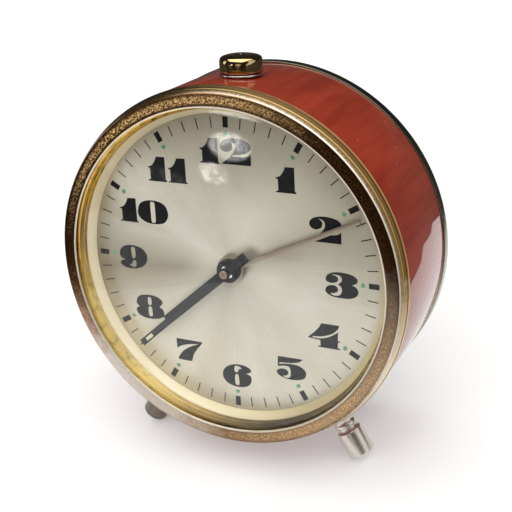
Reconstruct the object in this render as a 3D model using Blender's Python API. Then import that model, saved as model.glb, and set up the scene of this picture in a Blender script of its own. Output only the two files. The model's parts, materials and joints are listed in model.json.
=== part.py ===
"""A wind-up bedside alarm clock: a round drum case on two feet, with its hand-wound time and alarm trains.

Every piece is drawn on the dial's own plane: local X runs to the right, local Y up the dial and local Z out
of the dial towards the reader, with depth 0 on the dial's printed face. One empty leans all of it back and
stands it on the table. Angles given as clock angles run clockwise from twelve.
"""

from math import atan2, cos, hypot, pi, radians, sin, sqrt, tau

import bmesh
import bpy
from mathutils import Vector

MM = 0.001
GAP = 0.3 * MM  # between neighbours that touch on the real clock
WELD = 1e-7

# Case
BEZEL_RADIUS = 45.0 * MM
BAND_RADIUS = 44.8 * MM
BAND_WALL = 0.6 * MM
LIP_RADIUS = 40.5 * MM
BEZEL_FRONT = 6.5 * MM
BEZEL_BACK = 2.3 * MM
CASE_BACK = -30.0 * MM
REAR_BEZEL_DEPTH = 3.4 * MM
RING_STEPS = 36
GLASS_RISE = 3.0 * MM
GLASS_EDGE = 5.05 * MM
DIAL_RADIUS = 41.5 * MM
DIAL_SIGHT = 38.0 * MM
DIAL_THICKNESS = 0.6 * MM
DIAL_BORE = 2.9 * MM
STEP_RADIUS = 39.4 * MM  # where the cream ring ends and the gold one begins
STEP_DEPTH = 2.3 * MM
REFLECTOR_TOP = (40.1 * MM, 4.7 * MM)

# Feet and alarm button
FOOT_ANGLE = radians(148.6)
FOOT_DEPTH = -8.3 * MM
FOOT_TIP = 57.9 * MM
FOOT_RADIUS = 3.3 * MM
FOOT_TIP_RADIUS = 2.8 * MM
FOOT_NECK = 2.85 * MM
FOOT_GROOVE = 2.5 * MM
BUTTON_DEPTH = -9.5 * MM
BUTTON_RADIUS = 5.1 * MM
BUTTON_TOP = 49.7 * MM
BUTTON_BASE = 45.8 * MM

# Hands, at 7:38 with the alarm set for ten past two
MINUTE_ANGLE = radians(228.0)
HOUR_ANGLE = radians(229.0)
ALARM_ANGLE = radians(64.5)
MINUTE_REACH = 33.0 * MM
MINUTE_TAIL = 5.7 * MM
MINUTE_LAYER = (3.6 * MM, 3.9 * MM)
HOUR_REACH = 23.6 * MM
HOUR_TAIL = 6.6 * MM
HOUR_LAYER = (2.2 * MM, 2.5 * MM)
ALARM_REACH = 36.4 * MM
ALARM_TAIL = 3.6 * MM
ALARM_LAYER = (1.0 * MM, 1.3 * MM)

# Keys and knobs behind the case
BACK_FITTINGS = CASE_BACK - 0.7 * MM
KEY_BLADE = (-38.6 * MM, -33.2 * MM)
KNOB_RIM = (-37.5 * MM, -33.0 * MM)

# Movement: where each arbor stands on the dial plane, and how deep each layer of wheels lies
CENTRE = (0.0, 0.0)
TIME_BARREL = (-17.0 * MM, -9.0 * MM)
ALARM_BARREL = (17.0 * MM, -9.0 * MM)
FRONT_PLATE = (-7.5 * MM, -6.5 * MM)
BACK_PLATE = (-23.0 * MM, -22.0 * MM)
FRONT_PLATE_RADIUS = 39.5 * MM
BACK_PLATE_RADIUS = 38.5 * MM
PILLAR_PLACES = (
    (-27.0 * MM, 24.0 * MM),
    (34.0 * MM, -2.0 * MM),
    (-12.0 * MM, -33.0 * MM),
    (14.0 * MM, -31.0 * MM),
)
PIVOT_RADIUS = 0.5 * MM
PIVOT_HOLE = 0.9 * MM

# Gear teeth, as fractions of the module and of the pitch. A pinion's leaves have flat tips, a wheel's teeth
# come to a point.
ADDENDUM = 0.9
DEDENDUM = 1.1
LEAF_TIP_HALF = 0.12
ROOT_HALF = 0.30
MOST_LEAVES = 12

SMALL_STEPS = 12
DRILL_REACH = 4.0 * MM


def clear_scene():
    for old in list(bpy.data.objects):
        bpy.data.objects.remove(old, do_unlink=True)


def finish(name, colour, roughness, metallic, alpha=1.0):
    """A Principled material."""
    material = bpy.data.materials.new(name)
    material.use_nodes = True
    shader = material.node_tree.nodes["Principled BSDF"]
    shader.inputs["Base Color"].default_value = (*colour, 1.0)
    shader.inputs["Roughness"].default_value = roughness
    shader.inputs["Metallic"].default_value = metallic
    shader.inputs["Alpha"].default_value = alpha
    return material


clear_scene()

CLOCK = bpy.data.objects.new("clock_frame", None)
bpy.context.collection.objects.link(CLOCK)

WORN_BRASS = finish("worn_brass", (0.42, 0.30, 0.14), 0.35, 1.0)
GOLD = finish("polished_gold", (0.83, 0.62, 0.26), 0.15, 1.0)
RED_PAINT = finish("red_paint", (0.28, 0.035, 0.018), 0.18, 0.0)
OLD_NICKEL = finish("old_nickel", (0.55, 0.50, 0.46), 0.3, 1.0)
CREAM = finish("cream_paint", (0.80, 0.68, 0.45), 0.45, 0.0)
DIAL_SILVER = finish("dial_silver", (0.62, 0.60, 0.53), 0.35, 0.8)
GLASS = finish("clear_glass", (0.95, 0.97, 0.96), 0.03, 0.0, 0.35)
BLACK = finish("black_hands", (0.015, 0.015, 0.017), 0.3, 0.0)
COPPER = finish("copper_hand", (0.45, 0.28, 0.20), 0.35, 1.0)
BRASS = finish("movement_brass", (0.70, 0.52, 0.24), 0.3, 1.0)
STEEL = finish("movement_steel", (0.45, 0.45, 0.46), 0.3, 1.0)
BLUED_STEEL = finish("spring_steel", (0.12, 0.14, 0.20), 0.3, 1.0)


# ---------------------------------------------------------------- shapes


def circle(radius, steps=SMALL_STEPS, centre=CENTRE):
    """The points of a circle, starting on the local X axis."""
    return [
        (centre[0] + radius * cos(tau * i / steps), centre[1] + radius * sin(tau * i / steps))
        for i in range(steps)
    ]


def arc(radius, start, end, steps, centre=CENTRE):
    """Points along an arc, both ends included."""
    turns = [start + (end - start) * i / steps for i in range(steps + 1)]
    return [(centre[0] + radius * cos(a), centre[1] + radius * sin(a)) for a in turns]


def gear(teeth, module, phase=0.0):
    """A spur gear's outline with straight-sided teeth; one tooth points along the phase angle."""
    pitch = module * teeth / 2
    tip = pitch + ADDENDUM * module
    root = pitch - DEDENDUM * module
    top = ((tip, -LEAF_TIP_HALF), (tip, LEAF_TIP_HALF)) if teeth <= MOST_LEAVES else ((tip, 0.0),)
    corners = ((root, -ROOT_HALF), *top, (root, ROOT_HALF))
    points = []
    for tooth in range(teeth):
        for radius, part in corners:
            angle = phase + (tooth + part) * tau / teeth
            points.append((radius * cos(angle), radius * sin(angle)))
    return points


def saw(teeth, tip, root):
    """A ratchet or escape wheel's outline, with one steep and one sloping side to each tooth."""
    points = []
    for tooth in range(teeth):
        angle = tooth * tau / teeth
        points.append((root * cos(angle), root * sin(angle)))
        points.append((tip * cos(angle), tip * sin(angle)))
        relief = angle + 0.25 * tau / teeth
        points.append((0.5 * (tip + root) * cos(relief), 0.5 * (tip + root) * sin(relief)))
    return points


def strip(start, end, start_half, end_half, round_steps=6):
    """A bar's outline between two points, with its own half-width and a round end at each."""
    facing = bearing(start, end)
    head = arc(end_half, facing - pi / 2, facing + pi / 2, round_steps, end)
    tail = arc(start_half, facing + pi / 2, facing + 3 * pi / 2, round_steps, start)
    return head + tail


def spiral(inner, outer, turns, width):
    """A flat spiral strip's outline: out along one side and back along the other."""
    count = int(turns * SMALL_STEPS)
    edges = []
    for offset in (-width / 2, width / 2):
        radii = [inner + (outer - inner) * i / count + offset for i in range(count + 1)]
        angles = [tau * turns * i / count for i in range(count + 1)]
        edges.append([(r * cos(a), r * sin(a)) for r, a in zip(radii, angles)])
    return edges[1] + edges[0][::-1]


def place(bm, name, material, at=CENTRE, turn=0.0):
    """Makes the object, standing on its own axis at a point of the dial plane."""
    bmesh.ops.recalc_face_normals(bm, faces=bm.faces)
    mesh = bpy.data.meshes.new(name)
    bm.to_mesh(mesh)
    bm.free()
    mesh.materials.append(material)
    mesh.shade_smooth()
    mesh.set_sharp_from_angle(angle=radians(30))
    piece = bpy.data.objects.new(name, mesh)
    bpy.context.collection.objects.link(piece)
    piece.parent = CLOCK
    piece.location = (at[0], at[1], 0.0)
    piece.rotation_euler = (0.0, 0.0, turn)
    return piece


def stacked(name, material, sections, bores=(), at=CENTRE, turn=0.0):
    """A solid of straight sections, one on the next along the local Z axis.

    Each section and each bore is (outline, low, high). A bore starts and stops at the depth of a flat face.
    """
    bm = bmesh.new()
    flats = {}
    for outline, low, high in (*sections, *bores):
        loops = [[bm.verts.new((x, y, depth)) for x, y in outline] for depth in (low, high)]
        for loop, depth in zip(loops, (low, high)):
            edges = [bm.edges.new(pair) for pair in zip(loop, loop[1:] + loop[:1])]
            flats.setdefault(round(depth, 7), []).extend(edges)
        for i in range(len(outline)):
            j = (i + 1) % len(outline)
            bm.faces.new((loops[0][i], loops[0][j], loops[1][j], loops[1][i]))
    for edges in flats.values():
        bmesh.ops.triangle_fill(bm, edges=edges, use_beauty=True)
    return place(bm, name, material, at, turn)


def turned(name, material, section, steps=RING_STEPS, closed=True):
    """A section of (radius, depth) points spun round the local Z axis; an open one ends on that axis."""
    bm = bmesh.new()
    verts = [bm.verts.new((radius, 0.0, depth)) for radius, depth in section]
    edges = [bm.edges.new(pair) for pair in zip(verts, verts[1:])]
    if closed:
        edges.append(bm.edges.new((verts[-1], verts[0])))
    bmesh.ops.spin(
        bm, geom=verts + edges, cent=(0, 0, 0), axis=(0, 0, 1), angle=tau, steps=steps, use_merge=True
    )
    bmesh.ops.remove_doubles(bm, verts=bm.verts, dist=WELD)
    return place(bm, name, material)


def stand_radially(piece, clock_angle, depth):
    """Turns a piece so that its local Z axis points out of the case, at a clock angle and a depth."""
    piece.location = (0.0, 0.0, depth)
    piece.rotation_euler = (pi / 2, 0.0, pi - clock_angle)


def drill(piece, radius, clock_angle, depth, steps=16):
    """Cuts a round hole through the red band, square to its surface."""
    inner = BAND_RADIUS - DRILL_REACH
    outer = BAND_RADIUS + DRILL_REACH
    cutter = stacked(f"{piece.name}_cutter", BRASS, [(circle(radius, steps), inner, outer)])
    stand_radially(cutter, clock_angle, depth)
    cutter.hide_render = True
    cutter.display_type = "WIRE"
    hole = piece.modifiers.new("hole", "BOOLEAN")
    hole.operation = "DIFFERENCE"
    hole.object = cutter


def polar(centre, distance, angle):
    return (centre[0] + distance * cos(angle), centre[1] + distance * sin(angle))


def bearing(start, end):
    """The angle of the line from one arbor to the next."""
    return atan2(end[1] - start[1], end[0] - start[0])


def meshed(teeth, phase, other_teeth, line):
    """The phase of the next gear whose gap receives a tooth of this one, across a line of centres."""
    share = ((line - phase) * teeth / tau) % 1
    other_share = (0.5 - share) % 1
    return line + pi - other_share * tau / other_teeth


# ---------------------------------------------------------------- case


def make_case():
    turned("front_bezel", WORN_BRASS, [
        (LIP_RADIUS, BEZEL_FRONT - 0.1 * MM),
        (LIP_RADIUS + 0.2 * MM, BEZEL_FRONT),
        (43.6 * MM, 6.4 * MM),
        (43.95 * MM, 6.15 * MM),
        (44.3 * MM, 5.2 * MM),
        (BEZEL_RADIUS, 2.7 * MM),
        (BEZEL_RADIUS, BEZEL_BACK),
        (44.2 * MM, BEZEL_BACK),
        (43.4 * MM, 5.4 * MM),
        (43.0 * MM, 5.9 * MM),
        (LIP_RADIUS, 6.05 * MM),
    ])
    turned("reflector_ring", GOLD, [
        REFLECTOR_TOP,
        (DIAL_RADIUS, REFLECTOR_TOP[1]),
        (DIAL_RADIUS, STEP_DEPTH + GAP),
        (STEP_RADIUS, STEP_DEPTH + GAP),
    ])
    turned("dial_ring", CREAM, [
        (DIAL_SIGHT, GAP),
        (STEP_RADIUS, STEP_DEPTH),
        (DIAL_RADIUS, STEP_DEPTH),
        (DIAL_RADIUS, GAP),
    ])
    turned("dial", DIAL_SILVER, [
        (DIAL_BORE, 0.0),
        (DIAL_RADIUS, 0.0),
        (DIAL_RADIUS, -DIAL_THICKNESS),
        (DIAL_BORE, -DIAL_THICKNESS),
    ])
    rear = CASE_BACK + REAR_BEZEL_DEPTH
    band = turned("case_band", RED_PAINT, [
        (BAND_RADIUS, BEZEL_BACK - GAP),
        (BAND_RADIUS, rear + GAP),
        (BAND_RADIUS - BAND_WALL, rear + GAP),
        (BAND_RADIUS - BAND_WALL, BEZEL_BACK - GAP),
    ])
    drill(band, 2.5 * MM, 0.0, BUTTON_DEPTH)
    drill(band, 1.5 * MM, FOOT_ANGLE, FOOT_DEPTH)
    drill(band, 1.5 * MM, -FOOT_ANGLE, FOOT_DEPTH)
    turned("rear_bezel", WORN_BRASS, [
        (BEZEL_RADIUS, rear),
        (BEZEL_RADIUS, CASE_BACK + 0.4 * MM),
        (44.6 * MM, CASE_BACK),
        (40.5 * MM, CASE_BACK),
        (40.5 * MM, CASE_BACK + 0.5 * MM),
        (43.9 * MM, CASE_BACK + 0.6 * MM),
        (44.2 * MM, rear),
    ])


def make_crystal():
    """A domed glass 0.7 mm thick, held under the bezel's lip."""
    thickness = 0.7 * MM
    seat = 41.3 * MM
    foot = 40.2 * MM
    sphere = (foot**2 + GLASS_RISE**2) / (2 * GLASS_RISE)
    rings = 3

    def dome(base, radius):
        return base + GLASS_RISE - sphere + sqrt(sphere**2 - radius**2)

    radii = [foot * i / rings for i in range(rings + 1)]
    outer = [(radius, dome(GLASS_EDGE + thickness, radius)) for radius in radii]
    inner = [(radius, dome(GLASS_EDGE, radius)) for radius in reversed(radii)]
    rim = [(seat, GLASS_EDGE + thickness), (seat, GLASS_EDGE)]
    turned("crystal", GLASS, outer + rim + inner, closed=False)


def make_back_cover():
    """A shallow pan that closes the case and rings as the alarm's bell: the hammer beats on its rim."""
    low = CASE_BACK - 0.2 * MM
    high = low + 0.7 * MM
    rim_front = -24.5 * MM
    inside = circle(39.3 * MM, RING_STEPS)
    outside = circle(40.1 * MM, RING_STEPS)
    openings = [
        circle(2.4 * MM, SMALL_STEPS, TIME_BARREL),
        circle(2.4 * MM, SMALL_STEPS, ALARM_BARREL),
        circle(1.6 * MM),
        circle(1.6 * MM, SMALL_STEPS, ALARM_SETTER),
        regulator_slot(),
    ]
    bores = [(outline, low, high) for outline in openings]
    bores.append((inside, high, rim_front))
    stacked("back_cover", OLD_NICKEL, [(outside, low, rim_front)], bores)


def make_foot(side, clock_angle):
    """A turned foot on a threaded stud, which a hexagonal nut holds from inside the case."""
    foot = turned(f"foot_{side}", OLD_NICKEL, [
        (0.0, FOOT_TIP),
        (FOOT_TIP_RADIUS, FOOT_TIP),
        (FOOT_RADIUS, FOOT_TIP - 0.4 * MM),
        (FOOT_RADIUS, 50.7 * MM),
        (FOOT_NECK, 50.4 * MM),
        (FOOT_GROOVE, 50.2 * MM),
        (FOOT_GROOVE, 49.6 * MM),
        (FOOT_NECK, 49.4 * MM),
        (FOOT_NECK, 45.1 * MM),
        (1.2 * MM, 45.1 * MM),
        (1.2 * MM, 40.6 * MM),
        (0.0, 40.6 * MM),
    ], steps=16, closed=False)
    stand_radially(foot, clock_angle, FOOT_DEPTH)
    nut = stacked(
        f"foot_nut_{side}",
        STEEL,
        [(circle(3.0 * MM, 6), 41.3 * MM, 43.6 * MM)],
        [(circle(1.5 * MM), 41.3 * MM, 43.6 * MM)],
    )
    stand_radially(nut, clock_angle, FOOT_DEPTH)


def make_button():
    """The alarm button: pulled up to arm the alarm, pressed down to stop it."""
    button = turned("alarm_button", GOLD, [
        (0.0, BUTTON_TOP + 0.25 * MM),
        (0.5 * MM, BUTTON_TOP + 0.2 * MM),
        (0.9 * MM, BUTTON_TOP),
        (BUTTON_RADIUS - 1.25 * MM, BUTTON_TOP - 0.15 * MM),
        (BUTTON_RADIUS - 0.35 * MM, BUTTON_TOP - 0.55 * MM),
        (BUTTON_RADIUS, BUTTON_TOP - 1.3 * MM),
        (BUTTON_RADIUS, BUTTON_BASE),
        (1.2 * MM, BUTTON_BASE),
        (1.2 * MM, 38.2 * MM),
        (0.0, 38.2 * MM),
    ], steps=20, closed=False)
    stand_radially(button, 0.0, BUTTON_DEPTH)
    bush = turned("button_bush", OLD_NICKEL, [
        (1.6 * MM, BUTTON_BASE - GAP),
        (BUTTON_RADIUS, BUTTON_BASE - GAP),
        (BUTTON_RADIUS, 45.1 * MM),
        (2.2 * MM, 45.1 * MM),
        (2.2 * MM, 40.5 * MM),
        (1.6 * MM, 40.5 * MM),
    ], steps=20)
    stand_radially(bush, 0.0, BUTTON_DEPTH)


# ---------------------------------------------------------------- hands and motion work

MOTION_MODULE = 0.5 * MM
ALARM_SET_MODULE = 0.6 * MM
CANNON_TEETH = 10
MINUTE_WHEEL_TEETH = 30
MINUTE_PINION_TEETH = 8
HOUR_WHEEL_TEETH = 32
ALARM_WHEEL_TEETH = 30
SETTER_TEETH = 15
MINUTE_STUD = polar(CENTRE, MOTION_MODULE * (CANNON_TEETH + MINUTE_WHEEL_TEETH) / 2, radians(225))
ALARM_SETTER = polar(CENTRE, ALARM_SET_MODULE * (ALARM_WHEEL_TEETH + SETTER_TEETH) / 2, radians(30))


def hand(name, material, layer, reach, tail, half_width, hub, bore, clock_angle):
    """A flat hand with a round hub and a square tail, turned to its place on the dial."""
    shoulder = sqrt(hub**2 - half_width**2)
    rise = atan2(shoulder, half_width)
    outline = [(half_width, shoulder), (half_width, reach), (-half_width, reach), (-half_width, shoulder)]
    outline += arc(hub, pi - rise, pi + rise, 6)[1:-1]
    outline += [(-half_width, -shoulder), (-half_width, -tail), (half_width, -tail), (half_width, -shoulder)]
    outline += arc(hub, -rise, rise, 6)[1:-1]
    return stacked(name, material, [(outline, *layer)], [(circle(bore), *layer)], turn=-clock_angle)


def make_hands():
    minute = (MINUTE_REACH, MINUTE_TAIL, 0.9 * MM, 2.2 * MM, 0.85 * MM)
    hour = (HOUR_REACH, HOUR_TAIL, 1.3 * MM, 2.9 * MM, 1.5 * MM)
    alarm = (ALARM_REACH, ALARM_TAIL, 0.6 * MM, 3.4 * MM, 2.15 * MM)
    hand("minute_hand", BLACK, MINUTE_LAYER, *minute, MINUTE_ANGLE)
    hand("hour_hand", BLACK, HOUR_LAYER, *hour, HOUR_ANGLE)
    hand("alarm_hand", COPPER, ALARM_LAYER, *alarm, ALARM_ANGLE)
    turned("hand_cap", COPPER, [
        (0.0, 5.2 * MM),
        (0.7 * MM, 5.15 * MM),
        (1.0 * MM, 4.9 * MM),
        (1.0 * MM, 4.7 * MM),
        (0.0, 4.7 * MM),
    ], steps=16, closed=False)


def make_motion_work():
    """The wheels under the dial, which turn the hour hand once for twelve turns of the minute hand."""
    line = bearing(CENTRE, MINUTE_STUD)
    minute_phase = meshed(CANNON_TEETH, 0.0, MINUTE_WHEEL_TEETH, line)
    hour_phase = meshed(MINUTE_PINION_TEETH, minute_phase, HOUR_WHEEL_TEETH, line + pi)
    stacked("centre_arbor", STEEL, [(circle(0.6 * MM), -39.0 * MM, 4.4 * MM)])
    stacked(
        "cannon_pinion",
        BRASS,
        [
            (gear(CANNON_TEETH, MOTION_MODULE), -5.5 * MM, -4.8 * MM),
            (circle(1.25 * MM), -4.8 * MM, 3.3 * MM),
        ],
        [(circle(0.85 * MM), -5.5 * MM, 3.3 * MM)],
    )
    stacked(
        "minute_wheel",
        BRASS,
        [
            (gear(MINUTE_WHEEL_TEETH, MOTION_MODULE, minute_phase), -5.5 * MM, -4.8 * MM),
            (gear(MINUTE_PINION_TEETH, MOTION_MODULE, minute_phase), -4.8 * MM, -2.7 * MM),
        ],
        [(circle(0.95 * MM), -5.5 * MM, -2.7 * MM)],
        MINUTE_STUD,
    )
    stacked(
        "minute_wheel_stud",
        STEEL,
        [
            (circle(0.7 * MM), -7.4 * MM, -6.2 * MM),
            (circle(1.3 * MM), -6.2 * MM, -5.8 * MM),
            (circle(0.7 * MM), -5.8 * MM, -2.9 * MM),
        ],
        at=MINUTE_STUD,
    )
    stacked(
        "hour_wheel",
        BRASS,
        [
            (gear(HOUR_WHEEL_TEETH, MOTION_MODULE, hour_phase), -3.7 * MM, -3.0 * MM),
            (circle(1.9 * MM), -3.0 * MM, 1.9 * MM),
        ],
        [(circle(1.5 * MM), -3.7 * MM, 1.9 * MM)],
    )
    stacked(
        "alarm_wheel",
        BRASS,
        [
            (gear(ALARM_WHEEL_TEETH, ALARM_SET_MODULE), -2.2 * MM, -1.5 * MM),
            (circle(2.55 * MM), -1.5 * MM, 0.7 * MM),
        ],
        [(circle(2.15 * MM), -2.2 * MM, 0.7 * MM)],
    )
    setter_phase = meshed(ALARM_WHEEL_TEETH, 0.0, SETTER_TEETH, bearing(CENTRE, ALARM_SETTER))
    stacked(
        "alarm_set_arbor",
        STEEL,
        [
            (circle(0.8 * MM), -38.0 * MM, -2.3 * MM),
            (gear(SETTER_TEETH, ALARM_SET_MODULE, setter_phase), -2.3 * MM, -1.4 * MM),
        ],
        at=ALARM_SETTER,
    )
    spring_foot = polar(CENTRE, 19 * MM, radians(-30))
    stacked(
        "alarm_release_spring",
        BLUED_STEEL,
        [
            (circle(1.6 * MM, 8, spring_foot), -6.2 * MM, -4.45 * MM),
            (strip(CENTRE, spring_foot, 3.2 * MM, 2.2 * MM), -4.45 * MM, -4.15 * MM),
        ],
        [(circle(2.2 * MM), -4.45 * MM, -4.15 * MM)],
    )


# ---------------------------------------------------------------- movement

TIME_BARREL_TEETH = 40
ALARM_BARREL_TEETH = 40
CENTRE_PINION_TEETH = 8
CENTRE_WHEEL_TEETH = 48
THIRD_WHEEL_TEETH = 45
FOURTH_WHEEL_TEETH = 48
TRAIN_PINION_TEETH = 6
ESCAPE_TEETH = 15
ALARM_PINION_TEETH = 8
RATCHET_TEETH = 16

TIME_MODULE = 2 * hypot(*TIME_BARREL) / (TIME_BARREL_TEETH + CENTRE_PINION_TEETH)
CENTRE_MODULE = 0.45 * MM
THIRD_MODULE = 0.42 * MM
FOURTH_MODULE = 0.38 * MM
ALARM_MODULE = 0.7 * MM

THIRD = polar(CENTRE, CENTRE_MODULE * (CENTRE_WHEEL_TEETH + TRAIN_PINION_TEETH) / 2, radians(120))
FOURTH = polar(THIRD, THIRD_MODULE * (THIRD_WHEEL_TEETH + TRAIN_PINION_TEETH) / 2, radians(37.4))
ESCAPE = polar(FOURTH, FOURTH_MODULE * (FOURTH_WHEEL_TEETH + TRAIN_PINION_TEETH) / 2, radians(137.8))
PALLET = polar(ESCAPE, 8.0 * MM, radians(193.7))
BALANCE = (-20.0 * MM, 9.5 * MM)
ALARM_ESCAPE = polar(
    ALARM_BARREL, ALARM_MODULE * (ALARM_BARREL_TEETH + ALARM_PINION_TEETH) / 2, radians(79.7)
)
HAMMER = (14.0 * MM, 14.0 * MM)
HAMMER_HEAD = (-3.1 * MM, 35.7 * MM)
STOP_LEVER = (10.0 * MM, 31.0 * MM)
CLICK_DISTANCE = 8.6 * MM
CLICK_ANGLE = radians(100)
REGULATOR_ANGLE = radians(107)
REGULATOR_SWING = radians(20)
REGULATOR_LENGTH = 9.5 * MM

GREAT_LAYER = (-16.0 * MM, -15.0 * MM)
GREAT_PINION_LAYER = (-16.2 * MM, -14.8 * MM)
CENTRE_LAYER = (-11.0 * MM, -10.0 * MM)
THIRD_LAYER = (-13.0 * MM, -12.0 * MM)
FOURTH_LAYER = (-15.0 * MM, -14.0 * MM)
ESCAPE_LAYER = (-9.2 * MM, -8.2 * MM)
PINION_REACH = 0.2 * MM  # a pinion stands this far past its wheel on each side
ARBOR_RADIUS = 0.65 * MM
ARBOR_BACK = BACK_PLATE[1] + GAP
ARBOR_FRONT = FRONT_PLATE[0] - GAP
PIVOT_BACK = BACK_PLATE[0] + 0.2 * MM
PIVOT_FRONT = FRONT_PLATE[1] - 0.2 * MM


def regulator_slot():
    """A curved slot in the back cover, for the regulator's tip."""
    half = 1.2 * MM
    start = REGULATOR_ANGLE - REGULATOR_SWING - radians(10)
    end = REGULATOR_ANGLE + REGULATOR_SWING + radians(10)
    outer = arc(REGULATOR_LENGTH + half, start, end, 6, BALANCE)
    inner = arc(REGULATOR_LENGTH - half, end, start, 6, BALANCE)
    return outer + inner


def make_plates():
    """The two brass plates, the pillars between them and the nuts that hold the back plate on."""
    pivots = [THIRD, FOURTH, ESCAPE, PALLET, BALANCE, ALARM_ESCAPE]
    front_holes = [circle(PIVOT_HOLE, 6, point) for point in pivots + [HAMMER, STOP_LEVER]]
    front_holes += [circle(1.1 * MM, 8, point) for point in (TIME_BARREL, ALARM_BARREL, MINUTE_STUD)]
    front_holes += [circle(1.2 * MM, 8, point) for point in (CENTRE, ALARM_SETTER, *PILLAR_PLACES)]
    back_holes = [circle(PIVOT_HOLE, 6, point) for point in pivots]
    back_holes += [circle(1.2 * MM, 8, point) for point in (CENTRE, ALARM_SETTER, HAMMER, *PILLAR_PLACES)]
    back_holes += [circle(1.85 * MM, 12, point) for point in (TIME_BARREL, ALARM_BARREL)]
    plates = (
        ("front_plate", FRONT_PLATE, FRONT_PLATE_RADIUS, front_holes),
        ("back_plate", BACK_PLATE, BACK_PLATE_RADIUS, back_holes),
    )
    for name, (low, high), radius, holes in plates:
        rim = circle(radius, RING_STEPS)
        stacked(name, BRASS, [(rim, low, high)], [(hole, low, high) for hole in holes])
    for number, point in enumerate(PILLAR_PLACES, start=1):
        stacked(
            f"pillar_{number}",
            STEEL,
            [
                (circle(0.9 * MM, 8), -25.2 * MM, ARBOR_BACK),
                (circle(1.6 * MM, 10), ARBOR_BACK, ARBOR_FRONT),
                (circle(0.9 * MM, 8), ARBOR_FRONT, -6.2 * MM),
            ],
            at=point,
        )
        nut = (BACK_PLATE[0] - GAP - 1.5 * MM, BACK_PLATE[0] - GAP)
        stacked(
            f"pillar_nut_{number}",
            STEEL,
            [(circle(2.1 * MM, 6), *nut)],
            [(circle(1.2 * MM, 8), *nut)],
            point,
        )


def make_winding(side, barrel, teeth, module, phase):
    """One mainspring with its great wheel, winding arbor, click and key."""
    low, high = GREAT_LAYER
    click_point = polar(CENTRE, CLICK_DISTANCE, CLICK_ANGLE)
    stacked(
        f"{side}_great_wheel",
        BRASS,
        [(gear(teeth, module, phase), low, high)],
        [(circle(1.85 * MM), low, high), (circle(0.8 * MM, 8, click_point), low, high)],
        barrel,
    )
    ratchet_low = high + 0.7 * MM
    ratchet_high = ratchet_low + 0.8 * MM
    stacked(
        f"{side}_winding_arbor",
        STEEL,
        [
            (circle(1.2 * MM), -39.5 * MM, -30.6 * MM),
            (circle(1.5 * MM), -30.6 * MM, ratchet_low),
            (saw(RATCHET_TEETH, 5.5 * MM, 4.6 * MM), ratchet_low, ratchet_high),
            (circle(0.8 * MM, 8), ratchet_high, PIVOT_FRONT),
        ],
        at=barrel,
    )
    nose = polar(CENTRE, 6.1 * MM, CLICK_ANGLE - radians(38))
    heel = polar(CENTRE, 1.6 * MM, CLICK_ANGLE + pi / 2)
    toe = (nose[0] - click_point[0], nose[1] - click_point[1])
    click = stacked(
        f"{side}_click",
        STEEL,
        [
            (circle(0.5 * MM, 8), low + 0.2 * MM, ratchet_low),
            (strip(heel, toe, 1.3 * MM, 0.5 * MM, 5), ratchet_low, ratchet_high),
        ],
    )
    click.location = (barrel[0] + click_point[0], barrel[1] + click_point[1], 0.0)
    stacked(
        f"{side}_mainspring",
        BLUED_STEEL,
        [(spiral(3.4 * MM, 13.0 * MM, 3.25, 0.7 * MM), -21.4 * MM, -16.6 * MM)],
        at=barrel,
    )
    make_key(side, barrel)


def make_key(side, barrel):
    """A winding key screwed on its arbor: a round boss with two flat wings."""
    boss = 2.6 * MM
    wing = 9.5 * MM
    half = 1.0 * MM
    rise = atan2(sqrt(boss**2 - half**2), half)
    outline = [(half, wing), (-half, wing)]
    outline += arc(boss, pi - rise, pi + rise, 4)
    outline += [(-half, -wing), (half, -wing)]
    outline += arc(boss, -rise, rise, 4)
    back, step = KEY_BLADE
    stacked(
        f"{side}_key",
        OLD_NICKEL,
        [(outline, back, step), (circle(2.2 * MM), step, BACK_FITTINGS)],
        [(circle(1.5 * MM), back, BACK_FITTINGS)],
        barrel,
        radians(62 if side == "time" else 118),
    )


def make_knob(name, point, radius, bore):
    """A knob pressed on the back end of a setting arbor."""
    back, step = KNOB_RIM
    stacked(
        name,
        OLD_NICKEL,
        [(circle(radius, 24), back, step), (circle(0.55 * radius, 16), step, BACK_FITTINGS)],
        [(circle(bore), back, BACK_FITTINGS)],
        point,
    )


def wheel_arbor(name, point, wheel, wheel_layer, pinion, pinion_layer):
    """A wheel and a pinion on one steel arbor, with a pivot at each end. Layers are (low, high)."""
    back, front = sorted((wheel_layer, pinion_layer))
    shapes = {wheel_layer: wheel, pinion_layer: pinion}
    sections = [
        (circle(PIVOT_RADIUS, 8), PIVOT_BACK, ARBOR_BACK),
        (circle(ARBOR_RADIUS, 10), ARBOR_BACK, back[0]),
        (shapes[back], *back),
    ]
    if front[0] > back[1]:
        sections.append((circle(ARBOR_RADIUS, 10), back[1], front[0]))
    sections.append((shapes[front], *front))
    if ARBOR_FRONT > front[1]:
        sections.append((circle(ARBOR_RADIUS, 10), front[1], ARBOR_FRONT))
    sections.append((circle(PIVOT_RADIUS, 8), ARBOR_FRONT, PIVOT_FRONT))
    return stacked(name, BRASS, sections, at=point)


def widened(layer):
    return (layer[0] - PINION_REACH, layer[1] + PINION_REACH)


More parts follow.
